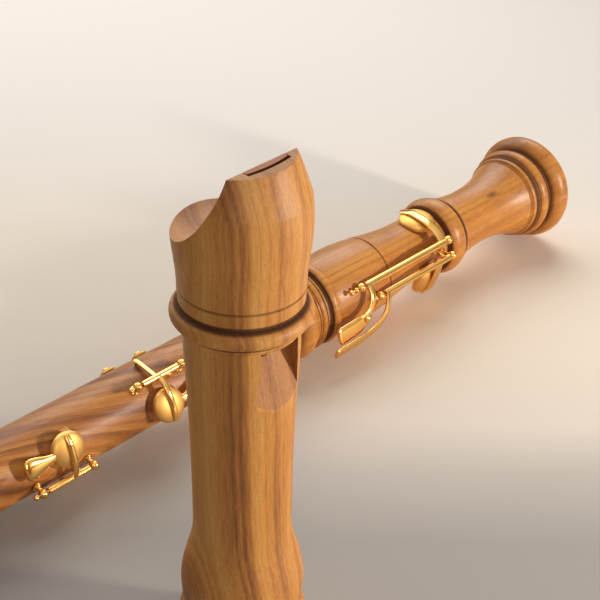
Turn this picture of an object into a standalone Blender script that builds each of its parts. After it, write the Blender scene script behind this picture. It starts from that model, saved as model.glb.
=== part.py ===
"""Tenor recorder with four keys: head joint taken off and standing, body lying on the table.

The lying body is modelled in its own frame: local Z runs from the bell's end face up the axis
towards the head end (a station is a distance along it), local X is the top of the body, and an
angle round the body is counted from the top towards the side that faces the standing head.
A key is modelled closed, in a frame whose origin is on its hinge, and then opened to its rest.
"""
import math

import bmesh
import bpy
from mathutils import Matrix, Vector

MM = 0.001

# Clearances
GAP = 0.3 * MM            # between pieces that touch
RUNNING_GAP = 0.25 * MM   # round a hinge rod or a spring in its hole
CUT_PAST = 3.0 * MM       # how far a cutter runs past the surface that it opens

# Bores, sockets and tenons
HEAD_BORE_R = 11.4 * MM
TENON_BORE_TOP_R = 10.4 * MM
MIDDLE_BORE_LOW_R = 8.8 * MM
FOOT_BORE_R = 8.2 * MM
HEAD_SOCKET_R = 13.6 * MM
HEAD_SOCKET_DEPTH = 32.0 * MM
FOOT_SOCKET_R = 12.4 * MM
FOOT_SOCKET_DEPTH = 28.0 * MM
CORK_THICKNESS = 1.0 * MM
CORK_LENGTH = 18.0 * MM
CORK_SETBACK = 5.0 * MM
TENON_LIP = 0.6 * MM          # the tenon's ends stand this much above the cork's seat
TENON_END_GAP = 1.0 * MM

# Incised lines in the turned wood
GROOVE_DEPTH = 0.55 * MM
GROOVE_HALF = 0.45 * MM

# Outside of a socket, distances from its mouth
MOUTH_ROUND = 5.2 * MM
MOUTH_ROUND_R = 4.2 * MM
MOUTH_SET_IN = 3.6 * MM       # from the bead's radius to the middle of the mouth's rounding
MOUTH_LINE = 11.8 * MM
NARROW_BEAD = 14.4 * MM
NARROW_BEAD_HALF = 1.6 * MM
COLLAR = 17.7 * MM
COLLAR_HALF = 1.1 * MM
COLLAR_DEPTH = 2.6 * MM
WIDE_BEAD = 22.4 * MM
WIDE_BEAD_HALF = 2.6 * MM
BEAD_HEIGHT = 1.8 * MM
BULB_EDGE = 26.5 * MM

# Head joint, heights above its lower end or below its top
HEAD_LENGTH = 193.4 * MM
HEAD_TUBE_R = 16.3 * MM
HEAD_TUBE_START = 62.0 * MM
HEAD_BULB_R = 20.9 * MM
HEAD_BEAD_R = 21.6 * MM
HEAD_BULB_END = 36.0 * MM
NECK_R = 17.9 * MM
NECK_LENGTH = 12.8 * MM        # straight part under the ring
NECK_BELOW_RING = 5.4 * MM
NECK_STEP = 0.7 * MM
RING_BELOW_TOP = 50.6 * MM
RING_R = 21.75 * MM
RING_HALF = 3.0 * MM
UPPER_LINE_ABOVE_RING = 8.6 * MM
LOWER_LINE_ABOVE_RING = 3.9 * MM
CAP_LOW_R = 19.25 * MM
CAP_R = 20.8 * MM
CAP_WIDEST_BELOW_TOP = 20.8 * MM
BEAK_CORNER_R = 20.3 * MM
BEAK_CORNER_BELOW_TOP = 13.0 * MM
BEAK_TIP_R = 15.4 * MM
BEAK_END_SLOPE = 3.2           # degrees, the end face falls towards one side

# Beak cut, windway, window and ramp
SCOOP_DEPTH = 23.3 * MM
SCOOP_HALF_LENGTH = 22.2 * MM
SCOOP_BEHIND_AXIS = 13.5 * MM
SCOOP_FLOOR_BELOW_TOP = 25.0 * MM
WINDWAY_WIDTH = 16.2 * MM
WINDWAY_HEIGHT = 1.3 * MM
WINDWAY_RISE = 0.9 * MM        # of the windway's roof above the bore
WINDWAY_ARCH_R = 38.0 * MM
WINDWAY_CHAMFER = 0.9 * MM
WINDOW_BELOW_RING = 5.8 * MM
WINDOW_HEIGHT = 4.8 * MM
WINDOW_WIDTH = 15.0 * MM
RAMP_LENGTH = 16.9 * MM
RAMP_SPREAD = 1.9 * MM         # each side of the ramp widens this much over its length
LABIUM_THICKNESS = 0.5 * MM

# Middle joint
MIDDLE_LENGTH = 243.0 * MM     # between its two shoulders
MIDDLE_R = 14.9 * MM
TOP_RING_RISE = 0.5 * MM
TOP_RING_LENGTH = 6.0 * MM
SHOULDER_CHAMFER = 0.6 * MM

# Foot joint, stations counted from the bell's end face
FOOT_LENGTH = 207.0 * MM
RIM_STATION = 7.0 * MM
RIM_R = 29.5 * MM
RIM_HALF = 6.5 * MM
BELL_MOUTH_R = 15.0 * MM
BELL_MOUTH_DEPTH = 26.0 * MM
BELL_BEAD = 19.0 * MM
BELL_BEAD_HALF = 3.2 * MM
BELL_BEAD_R = 25.3 * MM
FLARE_BEAD = 26.0 * MM
FLARE_BEAD_HALF = 1.4 * MM
FLARE_BEAD_R = 22.9 * MM
FLARE_TOP = 28.4 * MM
FLARE_TOP_R = 21.3 * MM
FLARE_END = 61.0 * MM
FLARE_R = 15.6 * MM
WAIST_R = 17.0 * MM
WAIST_BEAD = 81.2 * MM
WAIST_BEAD_HALF = 1.3 * MM
WAIST_BEAD_R = 18.4 * MM
ASTRAGAL = 89.2 * MM
ASTRAGAL_R = 21.0 * MM
ASTRAGAL_HALF = 5.7 * MM
BARREL_R = 16.0 * MM
BARREL_START = 95.3 * MM
BARREL_END = 113.0 * MM
FOOT_BULB = 164.0 * MM
FOOT_BULB_R = 20.9 * MM
FOOT_BEAD_R = 21.6 * MM
BULB_LINE = 144.5 * MM

# Tone holes on the middle joint: place as a share of its length, and hole radius
FINGER_LINE = 70.0             # degrees from the top towards the near side
THUMB_HOLE = (0.9095, 3.0 * MM)
OPEN_HOLES = ((0.8477, 3.2 * MM), (0.6914, 3.4 * MM), (0.1852, 3.6 * MM), (0.0494, 3.2 * MM))
HOLE_START_R = 4.0 * MM        # a hole's cutter starts inside the bore

# Keys of the middle joint: cup place as a share of its length, posts from the cup's station
HOLE_3_CUP = 0.5432
HOLE_3_POSTS = (-10.0 * MM, 15.0 * MM)
HOLE_4_CUP = 0.3333
HOLE_4_POSTS = (-13.0 * MM, 11.0 * MM)
HOLE_4_TAIL_SHIFT = 1.0 * MM
MIDDLE_CUP_R = 7.7 * MM
MIDDLE_DOME = 2.6 * MM
PADDED_HOLE_R = 3.6 * MM
MIDDLE_ARM_WIDTH = 2.0 * MM
MIDDLE_TUBE_R = 1.5 * MM
MIDDLE_BALL_R = 2.1 * MM
MIDDLE_KNOB_R = 1.2 * MM

# Keys of the foot joint: stations from the bell's end
SHARP_CUP = 105.5 * MM
SHARP_HOLE_R = 4.0 * MM
SHARP_POST = 102.4 * MM
SHARP_HINGE_LENGTH = 66.2 * MM
LOW_C_CUP = 112.0 * MM
LOW_C_HOLE_R = 4.6 * MM
LOW_C_POST = 101.4 * MM
LOW_C_HINGE_LENGTH = 55.6 * MM
LOW_C_TAIL_SHIFT = -5.0 * MM
FOOT_CUP_R = 9.4 * MM
FOOT_DOME = 3.4 * MM
FOOT_ARM_WIDTH = 3.2 * MM
FOOT_TUBE_R = 1.85 * MM
FOOT_BALL_R = 2.35 * MM
FOOT_KNOB_R = 1.4 * MM

# A foot lever's strip from its hinge tube to its touch: distance along the body from the strip's
# start, degrees round from the hinge, rise above the hinge and the strip's width there
SHARP_STRIP = ((0.0, 0.0, 0.8 * MM, 3.2 * MM), (0.8 * MM, 13.5, 2.3 * MM, 3.4 * MM),
               (4.0 * MM, 26.0, 3.0 * MM, 3.8 * MM), (9.0 * MM, 33.0, 3.6 * MM, 6.0 * MM),
               (15.5 * MM, 37.0, 3.9 * MM, 9.0 * MM), (22.0 * MM, 38.0, 3.9 * MM, 9.5 * MM))
LOW_C_STRIP = ((0.0, 0.0, 0.8 * MM, 3.0 * MM), (2.6 * MM, 9.5, 3.2 * MM, 3.3 * MM),
               (6.5 * MM, 17.0, 5.3 * MM, 3.6 * MM), (13.5 * MM, 22.0, 6.9 * MM, 5.0 * MM),
               (23.5 * MM, 24.0, 7.7 * MM, 6.5 * MM), (38.5 * MM, 25.5, 7.9 * MM, 8.0 * MM))

# Key work
MIDDLE_HINGE_RISE = 4.9 * MM   # hinge above the wood
FOOT_HINGE_RISE = 2.7 * MM     # hinge above the foot's bulb
ROD_R = 0.6 * MM
POST_STEM_R = 1.1 * MM
POST_SHANK = 3.0 * MM
POST_FLANGE_R = 2.1 * MM
POST_FLANGE_HEIGHT = 0.8 * MM
POST_FLANGE_SLOPE = 0.5 * MM
KNOB_HALF = 1.0 * MM           # round knobs on the end of a hinge rod
KNOB_PITCH = 3.5 * MM
CUP_WALL = 0.9 * MM
CUP_EDGE = 0.3 * MM
CUP_RIM_HEIGHT = 1.6 * MM
SEAT_SHARE = 0.87              # the seat is cut where the wood is this share of the cup wide
SEAT_MARGIN = 0.8 * MM
PAD_THICKNESS = 1.8 * MM
PAD_STAND_OUT = 0.8 * MM
PAD_EDGE = 0.4 * MM
ARM_FROM_POST = 0.4 * MM
ARM_THICKNESS = 1.5 * MM
TAIL_WIDTH = 2.4 * MM
TAIL_THICKNESS = 1.2 * MM
TAIL_PAST_CORK = 0.5 * MM
STOP_CORK_R = 1.4 * MM
STOP_CORK_HEIGHT = 0.8 * MM
STRIP_THICKNESS = 1.3 * MM
STRIP_FROM_POST = 1.9 * MM
SPRING_R = 0.3 * MM
SPRING_LENGTH = 11.0 * MM
SPRING_IN_POST = 1.6 * MM
SPRING_BELOW_HINGE = 2.6 * MM
LUG_THICKNESS = 1.0 * MM
LUG_WIDTH = 1.6 * MM
SPOON_LENGTH = 16.0 * MM
SPOON_WIDTH = 9.6 * MM
SPOON_THICKNESS = 1.5 * MM
SPOON_OVERLAP = 0.8 * MM

# Thumb rest on the back of the middle joint
THUMB_REST_PLACE = 0.3321      # as a share of the middle joint's length
THUMB_REST_LENGTH = 24.0 * MM
THUMB_REST_ARC = (-140.0, -74.0)
THUMB_REST_THICKNESS = 1.1 * MM
THUMB_EAR_ANGLE = -56.0
THUMB_EAR_HALF_ARC = 10.0
THUMB_EAR_WIDTH = 6.2 * MM
THUMB_SCREW_SPACING = 17.5 * MM
THUMB_SCREW_R = 0.9 * MM
THUMB_SCREW_LENGTH = 3.0 * MM
THUMB_SCREW_HEAD_R = 1.9 * MM
THUMB_SCREW_HEAD_HEIGHT = 1.1 * MM
THUMB_SCREW_SLOT = 0.6 * MM
THUMB_HOOK_HEIGHT = 10.0 * MM
THUMB_HOOK_LEAN = 4.2 * MM
THUMB_HOOK_WIDTH = 13.0 * MM
THUMB_HOOK_THICKNESS = 2.2 * MM

# Where the pieces lie on the table
HEAD_BEHIND_RIM = 335.6 * MM   # standing head's axis, from the bell rim towards the head end
HEAD_BESIDE_AXIS = 123.7 * MM  # and sideways from the lying axis

# Facets round the big turned pieces, the cups and the small pieces
LARGE_STEPS = 36
CUP_STEPS = 28
HOLE_STEPS = 20
SMALL_STEPS = 12
SHARP_ANGLE = math.radians(35)

# Materials: colour, metallic, roughness
FINISHES = {
    "oiled_wood": ((0.46, 0.22, 0.075, 1.0), 0.0, 0.42),
    "cedar": ((0.50, 0.25, 0.14, 1.0), 0.0, 0.6),
    "gilt_brass": ((0.95, 0.62, 0.19, 1.0), 1.0, 0.22),
    "spring_steel": ((0.10, 0.12, 0.18, 1.0), 1.0, 0.35),
    "cork": ((0.52, 0.33, 0.17, 1.0), 0.0, 0.85),
    "pad_leather": ((0.55, 0.36, 0.22, 1.0), 0.0, 0.7),
}


def clear_scene():
    for obj in list(bpy.data.objects):
        bpy.data.objects.remove(obj, do_unlink=True)


def make_materials():
    made = {}
    for name, (colour, metallic, roughness) in FINISHES.items():
        material = bpy.data.materials.new(name)
        material.use_nodes = True
        shader = material.node_tree.nodes["Principled BSDF"]
        shader.inputs["Base Color"].default_value = colour
        shader.inputs["Metallic"].default_value = metallic
        shader.inputs["Roughness"].default_value = roughness
        made[name] = material
    return made


def add_object(name, bm, parent, material=None):
    bmesh.ops.recalc_face_normals(bm, faces=bm.faces)
    mesh = bpy.data.meshes.new(name)
    bm.to_mesh(mesh)
    bm.free()
    mesh.shade_smooth()
    mesh.set_sharp_from_angle(angle=SHARP_ANGLE)
    obj = bpy.data.objects.new(name, mesh)
    if material:
        mesh.materials.append(material)
    bpy.context.scene.collection.objects.link(obj)
    obj.parent = parent
    return obj


def add_empty(name, parent=None, location=(0, 0, 0)):
    empty = bpy.data.objects.new(name, None)
    bpy.context.scene.collection.objects.link(empty)
    empty.parent = parent
    empty.location = location
    return empty


def carve(target, tools, operation="DIFFERENCE"):
    """Cut the tools from the target, or join them to it, and keep only the result."""
    for tool in tools:
        tool.hide_render = True
        tool.display_type = "WIRE"
        modifier = target.modifiers.new(tool.name, "BOOLEAN")
        modifier.object = tool
        modifier.operation = operation
        modifier.solver = "EXACT"
    bpy.context.view_layer.update()
    evaluated = target.evaluated_get(bpy.context.evaluated_depsgraph_get())
    result = bpy.data.meshes.new_from_object(evaluated)
    target.modifiers.clear()
    target.data = result
    result.shade_smooth()
    result.set_sharp_from_angle(angle=SHARP_ANGLE)
    for tool in tools:
        bpy.data.objects.remove(tool, do_unlink=True)


def arc(centre_z, centre_r, half_z, half_r, start, end, steps):
    """Points of an elliptical arc in the (radius, station) plane; 0 degrees points outwards."""
    angles = [math.radians(start + (end - start) * i / steps) for i in range(steps + 1)]
    return [(centre_r + half_r * math.cos(a), centre_z + half_z * math.sin(a)) for a in angles]


def bead(centre_z, half, top_r, base_r, steps):
    """A rounded ring between two stations, rising from the base radius to the top radius."""
    return arc(centre_z, base_r, half, top_r - base_r, -90, 90, steps)


def groove(centre_z, surface_r):
    """An incised line."""
    bottom = (surface_r - GROOVE_DEPTH, centre_z)
    return [(surface_r, centre_z - GROOVE_HALF), bottom, (surface_r, centre_z + GROOVE_HALF)]


def between(start, end, t):
    return start + (end - start) * t


def s_curve(t):
    """Goes from 0 to 1 with a level start and end."""
    return 0.5 - 0.5 * math.cos(math.pi * min(max(t, 0.0), 1.0))


def ease(z0, r0, z1, r1, steps):
    """A smooth S-shaped run between two radii."""
    shares = [i / steps for i in range(steps + 1)]
    return [(between(r0, r1, s_curve(t)), between(z0, z1, t)) for t in shares]


def swell(z0, r0, z1, r1, power, steps):
    """A run that leaves the first radius slowly and opens up towards the second."""
    shares = [i / steps for i in range(steps + 1)]
    return [(between(r0, r1, t ** power), between(z0, z1, t)) for t in shares]


def turned(outline, steps=SMALL_STEPS):
    """Spin a closed (radius, station) outline round Z; it is solid where it touches the axis."""
    bm = bmesh.new()
    verts = [bm.verts.new((r, 0, z)) for r, z in outline]
    on_axis = outline[0][0] < 1e-9 and outline[-1][0] < 1e-9
    last = len(verts) - 1 if on_axis else len(verts)
    edges = [bm.edges.new((verts[i], verts[(i + 1) % len(verts)])) for i in range(last)]
    bmesh.ops.spin(bm, geom=verts + edges, cent=(0, 0, 0), axis=(0, 0, 1), dvec=(0, 0, 0),
                   angle=2 * math.pi, steps=steps, use_merge=True, use_duplicate=False)
    bmesh.ops.remove_doubles(bm, verts=bm.verts, dist=1e-6)
    return bm


def rod(radius, z0, z1, steps=SMALL_STEPS):
    return turned([(0, z0), (radius, z0), (radius, z1), (0, z1)], steps)


def tube(bore, radius, z0, z1, steps):
    return turned([(bore, z0), (radius, z0), (radius, z1), (bore, z1)], steps)


def block(x0, x1, y0, y1, z0, z1):
    bm = bmesh.new()
    bmesh.ops.create_cube(bm, size=1.0)
    bmesh.ops.scale(bm, verts=bm.verts, vec=(x1 - x0, y1 - y0, z1 - z0))
    bmesh.ops.translate(bm, verts=bm.verts, vec=((x0 + x1) / 2, (y0 + y1) / 2, (z0 + z1) / 2))
    return bm


def prism(outline, depth, axis=2):
    """Extrude a flat outline by the depth, centred: (y, z) along axis 0 or (x, y) along axis 2."""
    bm = bmesh.new()
    order = {0: (2, 0, 1), 2: (0, 1, 2)}[axis]
    verts = [bm.verts.new([(a, b, -depth / 2)[i] for i in order]) for a, b in outline]
    face = bm.faces.new(verts)
    shift = Vector((0, 0, 0))
    shift[axis] = depth
    extruded = bmesh.ops.extrude_face_region(bm, geom=[face])
    moved = [v for v in extruded["geom"] if isinstance(v, bmesh.types.BMVert)]
    bmesh.ops.translate(bm, verts=moved, vec=shift)
    return bm


def on_body(angle, radius, station=0.0):
    """A point of the lying body's frame from its angle, radius and station."""
    a = math.radians(angle)
    return Vector((radius * math.cos(a), -radius * math.sin(a), station))


def radial(angle, station):
    """Turn a piece modelled along Z so that its Z points outwards at an angle and station."""
    out = on_body(angle, 1.0)
    along = Vector((0, 0, 1))
    across = along.cross(out)
    matrix = Matrix((across, along, out)).transposed().to_4x4()
    matrix.translation = (0, 0, station)
    return matrix


def placed(bm, matrix):
    bmesh.ops.transform(bm, matrix=matrix, verts=bm.verts)
    return bm


def smooth_route(marks, steps):
    """A smooth line through the marks; each mark is a tuple of numbers that change together."""
    route = []
    last = len(marks) - 1
    for i in range(last):
        near = (marks[max(i - 1, 0)], marks[i], marks[i + 1], marks[min(i + 2, last)])
        for k in range(steps):
            t = k / steps
            route.append(tuple(
                b + 0.5 * t * (c - a + t * (2 * a - 5 * b + 4 * c - d + t * (3 * (b - c) + d - a)))
                for a, b, c, d in zip(*near)))
    route.append(tuple(marks[-1]))
    return route


def strip(stops, thickness):
    """A flat strip with a rounded far end; each stop is (point, outward direction, width)."""
    point, out, width = stops[-1]
    ahead = (point - stops[-2][0]).normalized()
    rounded = [(point + ahead * width / 2 * math.sin(a), out, width * math.cos(a))
               for a in (math.radians(30), math.radians(55), math.radians(75), math.radians(87))]
    corners = ((1, 1), (-1, 1), (-1, -1), (1, -1))
    rings = []
    stops = stops + rounded
    bm = bmesh.new()
    for i, (point, out, width) in enumerate(stops):
        ahead = stops[min(i + 1, len(stops) - 1)][0] - stops[max(i - 1, 0)][0]
        side = ahead.cross(out).normalized()
        up = side.cross(ahead).normalized() * thickness / 2
        side *= width / 2
        rings.append([bm.verts.new(point + a * side + b * up) for a, b in corners])
    for low, high in zip(rings, rings[1:]):
        for i in range(4):
            bm.faces.new((low[i], low[(i + 1) % 4], high[(i + 1) % 4], high[i]))
    bm.faces.new(rings[0])
    bm.faces.new(rings[-1])
    return bm


def windway_slab(width, z0, z1, roof, floor, steps=8):
    """A bar with arched top and bottom, as the windway's space or the block's raised floor."""
    half = width / 2
    across = [between(-half, half, i / steps) for i in range(steps + 1)]
    outline = [(x, -(roof - arch_drop(x))) for x in across]
    outline += [(x, -(floor - arch_drop(x))) for x in reversed(across)]
    return placed(prism(outline, z1 - z0), Matrix.Translation((0, 0, (z0 + z1) / 2)))


def arch_drop(x):
    """How far the windway's arch lies below its middle at a sideways distance."""
    return x * x / (2 * WINDWAY_ARCH_R)


def scoop_cutter():
    """Everything behind the beak's concave cut: a big drum above the scoop's floor."""
    steps = 24
    centre_z = HEAD_LENGTH - SCOOP_FLOOR_BELOW_TOP + SCOOP_DEPTH
    outline = arc(centre_z, SCOOP_BEHIND_AXIS, SCOOP_DEPTH, SCOOP_HALF_LENGTH, 180, 360, steps)
    top = HEAD_LENGTH + CUT_PAST
    outline.append((SCOOP_BEHIND_AXIS + SCOOP_HALF_LENGTH, top))
    outline.append((SCOOP_BEHIND_AXIS - SCOOP_HALF_LENGTH, top))
    return prism(outline, 4 * CAP_R, 0)


def beak_end_cutter():
    """Everything above the beak's end face, which reaches the full length on one side only."""
    wide = 3 * CAP_R
    cutter = block(-wide, wide, -wide, wide, 0, CAP_R)
    slope = Matrix.Rotation(-math.radians(BEAK_END_SLOPE), 4, "Y")
    return placed(cutter, Matrix.Translation((BEAK_TIP_R, 0, HEAD_LENGTH)) @ slope)


def ramp_cutter(window_top):
    """The slanting labium ramp, from the window's lower edge out to the tube's surface."""
    steps = 8
    lip_y = HEAD_BORE_R + LABIUM_THICKNESS
    slope = (NECK_R - NECK_STEP - lip_y) / RAMP_LENGTH
    reach = NECK_R + CUT_PAST
    run = (reach - lip_y) / slope
    window_half = WINDOW_WIDTH / 2
    lip_z = window_top - WINDOW_HEIGHT
    levels = ((window_top, lip_y, window_half), (lip_z, lip_y, window_half),
              (lip_z - run, reach, window_half + RAMP_SPREAD * run / RAMP_LENGTH))
    bm = bmesh.new()
    rows, outer = [], []
    for z, y, half in levels:
        across = [between(-half, half, i / steps) for i in range(steps + 1)]
        rows.append([bm.verts.new((x, arch_drop(x) - y, z)) for x in across])
        outer.append([bm.verts.new((x, -reach - CUT_PAST, z)) for x in (-half, half)])
    for upper, lower in zip(rows, rows[1:]):
        for i in range(steps):
            bm.faces.new((upper[i], upper[i + 1], lower[i + 1], lower[i]))
    for row, pair in ((rows[0], outer[0]), (rows[-1], outer[-1])):
        bm.faces.new(row + [pair[1], pair[0]])
    for k in (0, 1):
        bm.faces.new((rows[k][0], rows[k + 1][0], outer[k + 1][0], outer[k][0]))
        bm.faces.new((rows[k][-1], rows[k + 1][-1], outer[k + 1][1], outer[k][1]))
        bm.faces.new((outer[k][0], outer[k][1], outer[k + 1][1], outer[k + 1][0]))
    return bm


def socket_end(socket_r, bead_r, bulb_r, bulb_at):
    """Outside of a socket, from its mouth at 0 to its bulb's widest place."""
    base = bead_r - BEAD_HEIGHT
    points = [(socket_r, 0)]
    points += arc(MOUTH_ROUND, bead_r - MOUTH_SET_IN, MOUTH_ROUND, MOUTH_ROUND_R, -90, 55, 5)
    points += groove(MOUTH_LINE, base)
    points += bead(NARROW_BEAD, NARROW_BEAD_HALF, bead_r - GROOVE_DEPTH, base, 5)
    points += [(bead_r - COLLAR_DEPTH, COLLAR - COLLAR_HALF), (bead_r - COLLAR_DEPTH, COLLAR + COLLAR_HALF)]
    points += bead(WIDE_BEAD, WIDE_BEAD_HALF, bead_r, base, 5)
    points += [(bulb_r - GROOVE_DEPTH, BULB_EDGE), (bulb_r, bulb_at)]
    return points


def head_outline():
    ring = HEAD_LENGTH - RING_BELOW_TOP
    ring_foot = ring - RING_HALF
    neck = ring - NECK_BELOW_RING
    upper_line = ring + UPPER_LINE_ABOVE_RING
    widest = HEAD_LENGTH - CAP_WIDEST_BELOW_TOP
    corner = HEAD_LENGTH - BEAK_CORNER_BELOW_TOP
    points = socket_end(HEAD_SOCKET_R, HEAD_BEAD_R, HEAD_BULB_R, HEAD_BULB_END)
    points += ease(HEAD_BULB_END, HEAD_BULB_R, HEAD_TUBE_START, HEAD_TUBE_R, 7)[1:]
    points += swell(HEAD_TUBE_START, HEAD_TUBE_R, ring - NECK_LENGTH, NECK_R, 2.3, 6)[1:] + [(NECK_R, neck)]
    points += [(NECK_R + NECK_STEP, neck + NECK_STEP)]
    points += [(NECK_R + NECK_STEP, ring_foot)]
    points += bead(ring, RING_HALF, RING_R, NECK_R + NECK_STEP, 8)[1:-1]
    points += [(CAP_LOW_R - GROOVE_DEPTH, ring + RING_HALF)]
    points += groove(ring + LOWER_LINE_ABOVE_RING, CAP_LOW_R - GROOVE_DEPTH / 3)
    points += groove(upper_line, CAP_LOW_R)
    points += ease(upper_line + GROOVE_HALF, CAP_LOW_R, widest, CAP_R, 6)[1:]
    points += ease(widest, CAP_R, 2 * corner - widest, 2 * BEAK_CORNER_R - CAP_R, 6)[1:4]
    points += swell(HEAD_LENGTH, BEAK_TIP_R, corner, BEAK_CORNER_R, 0.85, 3)[-2::-1]
    points += [(HEAD_BORE_R, HEAD_LENGTH)]
    points += [(HEAD_BORE_R, HEAD_SOCKET_DEPTH), (HEAD_SOCKET_R, HEAD_SOCKET_DEPTH)]
    return points


def build_head(materials, base):
    window_top = HEAD_LENGTH - RING_BELOW_TOP - WINDOW_BELOW_RING
    roof = HEAD_BORE_R + WINDWAY_RISE
    floor = roof - WINDWAY_HEIGHT
    inside = HEAD_BORE_R - CUT_PAST
    head = add_object("head_joint", turned(head_outline(), LARGE_STEPS), base, materials["oiled_wood"])
    channel = windway_slab(WINDWAY_WIDTH, window_top - GAP, HEAD_LENGTH + CUT_PAST, roof, inside)
    window_half = WINDOW_WIDTH / 2
    window = block(-window_half, window_half, -CAP_R, -inside, window_top - WINDOW_HEIGHT, window_top)
    cuts = (channel, window, ramp_cutter(window_top), scoop_cutter(), beak_end_cutter())
    carve(head, [add_object("cut_head", cut, base) for cut in cuts])

    core = rod(HEAD_BORE_R - GAP, window_top, HEAD_LENGTH, LARGE_STEPS)
    wood_block = add_object("windway_block", core, base, materials["cedar"])
    bar_width = WINDWAY_WIDTH - 2 * GAP
    bar = windway_slab(bar_width, window_top, HEAD_LENGTH, floor, inside)
    carve(wood_block, [add_object("floor_bar", bar, base)], "UNION")
    above = windway_slab(bar_width + CUT_PAST, window_top - CUT_PAST, HEAD_LENGTH + CUT_PAST,
                         roof + CUT_PAST, floor)
    chamfer = block(-HEAD_BORE_R, HEAD_BORE_R, -roof, WINDWAY_CHAMFER - floor,
                    window_top - CUT_PAST, window_top + WINDWAY_CHAMFER)
    cuts = (above, chamfer, scoop_cutter(), beak_end_cutter())
    carve(wood_block, [add_object("cut_block", cut, base) for cut in cuts])


def foot_surface(station):
    """Outer radius of the foot's barrel and bulb, where the keys stand."""
    return between(BARREL_R, FOOT_BULB_R, s_curve((station - BARREL_END) / (FOOT_BULB - BARREL_END)))


def on_middle(share):
    """The station at a share of the middle joint's length."""
    return FOOT_LENGTH + share * MIDDLE_LENGTH


def middle_surface(station):
    """Outer radius of the middle joint, the same all along."""
    return MIDDLE_R


def foot_outline():
    mouth_lip = RIM_R - RIM_HALF
    flare_bead_base = FLARE_TOP_R + GROOVE_DEPTH
    flare_start = FLARE_TOP + GROOVE_HALF
    astragal_base = ASTRAGAL_R - 3.4 * MM
    points = [(BELL_MOUTH_R, 0), (mouth_lip, 0)]
    points += arc(RIM_STATION, mouth_lip, RIM_HALF, RIM_HALF, -80, 85, 9)
    points += bead(BELL_BEAD, BELL_BEAD_HALF, BELL_BEAD_R, mouth_lip, 5)
    points += bead(FLARE_BEAD, FLARE_BEAD_HALF, FLARE_BEAD_R, flare_bead_base, 4)
    points += groove(FLARE_TOP, FLARE_TOP_R)
    points += swell(FLARE_END, FLARE_R, flare_start, FLARE_TOP_R, 2.5, 7)[-2::-1]
    points += ease(FLARE_END, FLARE_R, WAIST_BEAD - WAIST_BEAD_HALF, WAIST_R, 5)[1:-1]
    points += bead(WAIST_BEAD, WAIST_BEAD_HALF, WAIST_BEAD_R, WAIST_R, 4)
    points += arc(ASTRAGAL, astragal_base, ASTRAGAL_HALF, ASTRAGAL_R - astragal_base, -75, 80, 8)
    line_start, line_end = BULB_LINE - GROOVE_HALF, BULB_LINE + GROOVE_HALF
    barrel = [BARREL_START] + [between(BARREL_END, line_start, i / 4) for i in range(4)]
    points += [(foot_surface(z), z) for z in barrel]
    points += groove(BULB_LINE, foot_surface(BULB_LINE))
    points += [(foot_surface(z), z) for z in [between(line_end, FOOT_BULB, i / 3) for i in (1, 2)]]
    socket = socket_end(FOOT_SOCKET_R, FOOT_BEAD_R, FOOT_BULB_R, FOOT_LENGTH - FOOT_BULB)
    points += [(r, FOOT_LENGTH - z) for r, z in reversed(socket)]
    socket_floor = FOOT_LENGTH - FOOT_SOCKET_DEPTH
    points += [(FOOT_SOCKET_R, socket_floor), (FOOT_BORE_R, socket_floor)]
    points += swell(BELL_MOUTH_DEPTH, FOOT_BORE_R, 0, BELL_MOUTH_R, 1.6, 3)[:-1]
    return points


def tenon_end(end, sign, core_r):
    """Tenon outline from its end: a lip, then the seat that the cork is lapped on."""
    lip = core_r + TENON_LIP
    seat_start = end + sign * CORK_SETBACK
    seat_end = seat_start + sign * CORK_LENGTH
    seat_r = core_r - GAP
    return [(lip, end), (lip, seat_start), (seat_r, seat_start), (seat_r, seat_end), (lip, seat_end)]


def middle_outline(lower, upper):
    """Outline from the ends and core radii of the two tenons."""
    low, high = FOOT_LENGTH + GAP, FOOT_LENGTH + MIDDLE_LENGTH
    ring_r, ring_low = MIDDLE_R + TOP_RING_RISE, high - TOP_RING_LENGTH
    points = [(MIDDLE_BORE_LOW_R, lower[0])]
    points += tenon_end(lower[0], 1, lower[1])
    points += [(lower[1] + TENON_LIP, low), (MIDDLE_R - SHOULDER_CHAMFER, low)]
    points += [(MIDDLE_R, low + SHOULDER_CHAMFER)]
    points += [(MIDDLE_R, ring_low - TOP_RING_RISE), (ring_r, ring_low)]
    points += [(ring_r, high - SHOULDER_CHAMFER), (ring_r - SHOULDER_CHAMFER, high)]
    points += [(upper[1] + TENON_LIP, high)]
    points += reversed(tenon_end(upper[0], -1, upper[1]))
    points += [(TENON_BORE_TOP_R, upper[0])]
    return points


def cork_ring(name, materials, parent, end, sign, core_r):
    ends = sorted((end + sign * (CORK_SETBACK + GAP), end + sign * (CORK_SETBACK + CORK_LENGTH - GAP)))
    ring = tube(core_r, core_r + CORK_THICKNESS, ends[0], ends[1], LARGE_STEPS)
    add_object(name, ring, parent, materials["cork"])


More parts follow.
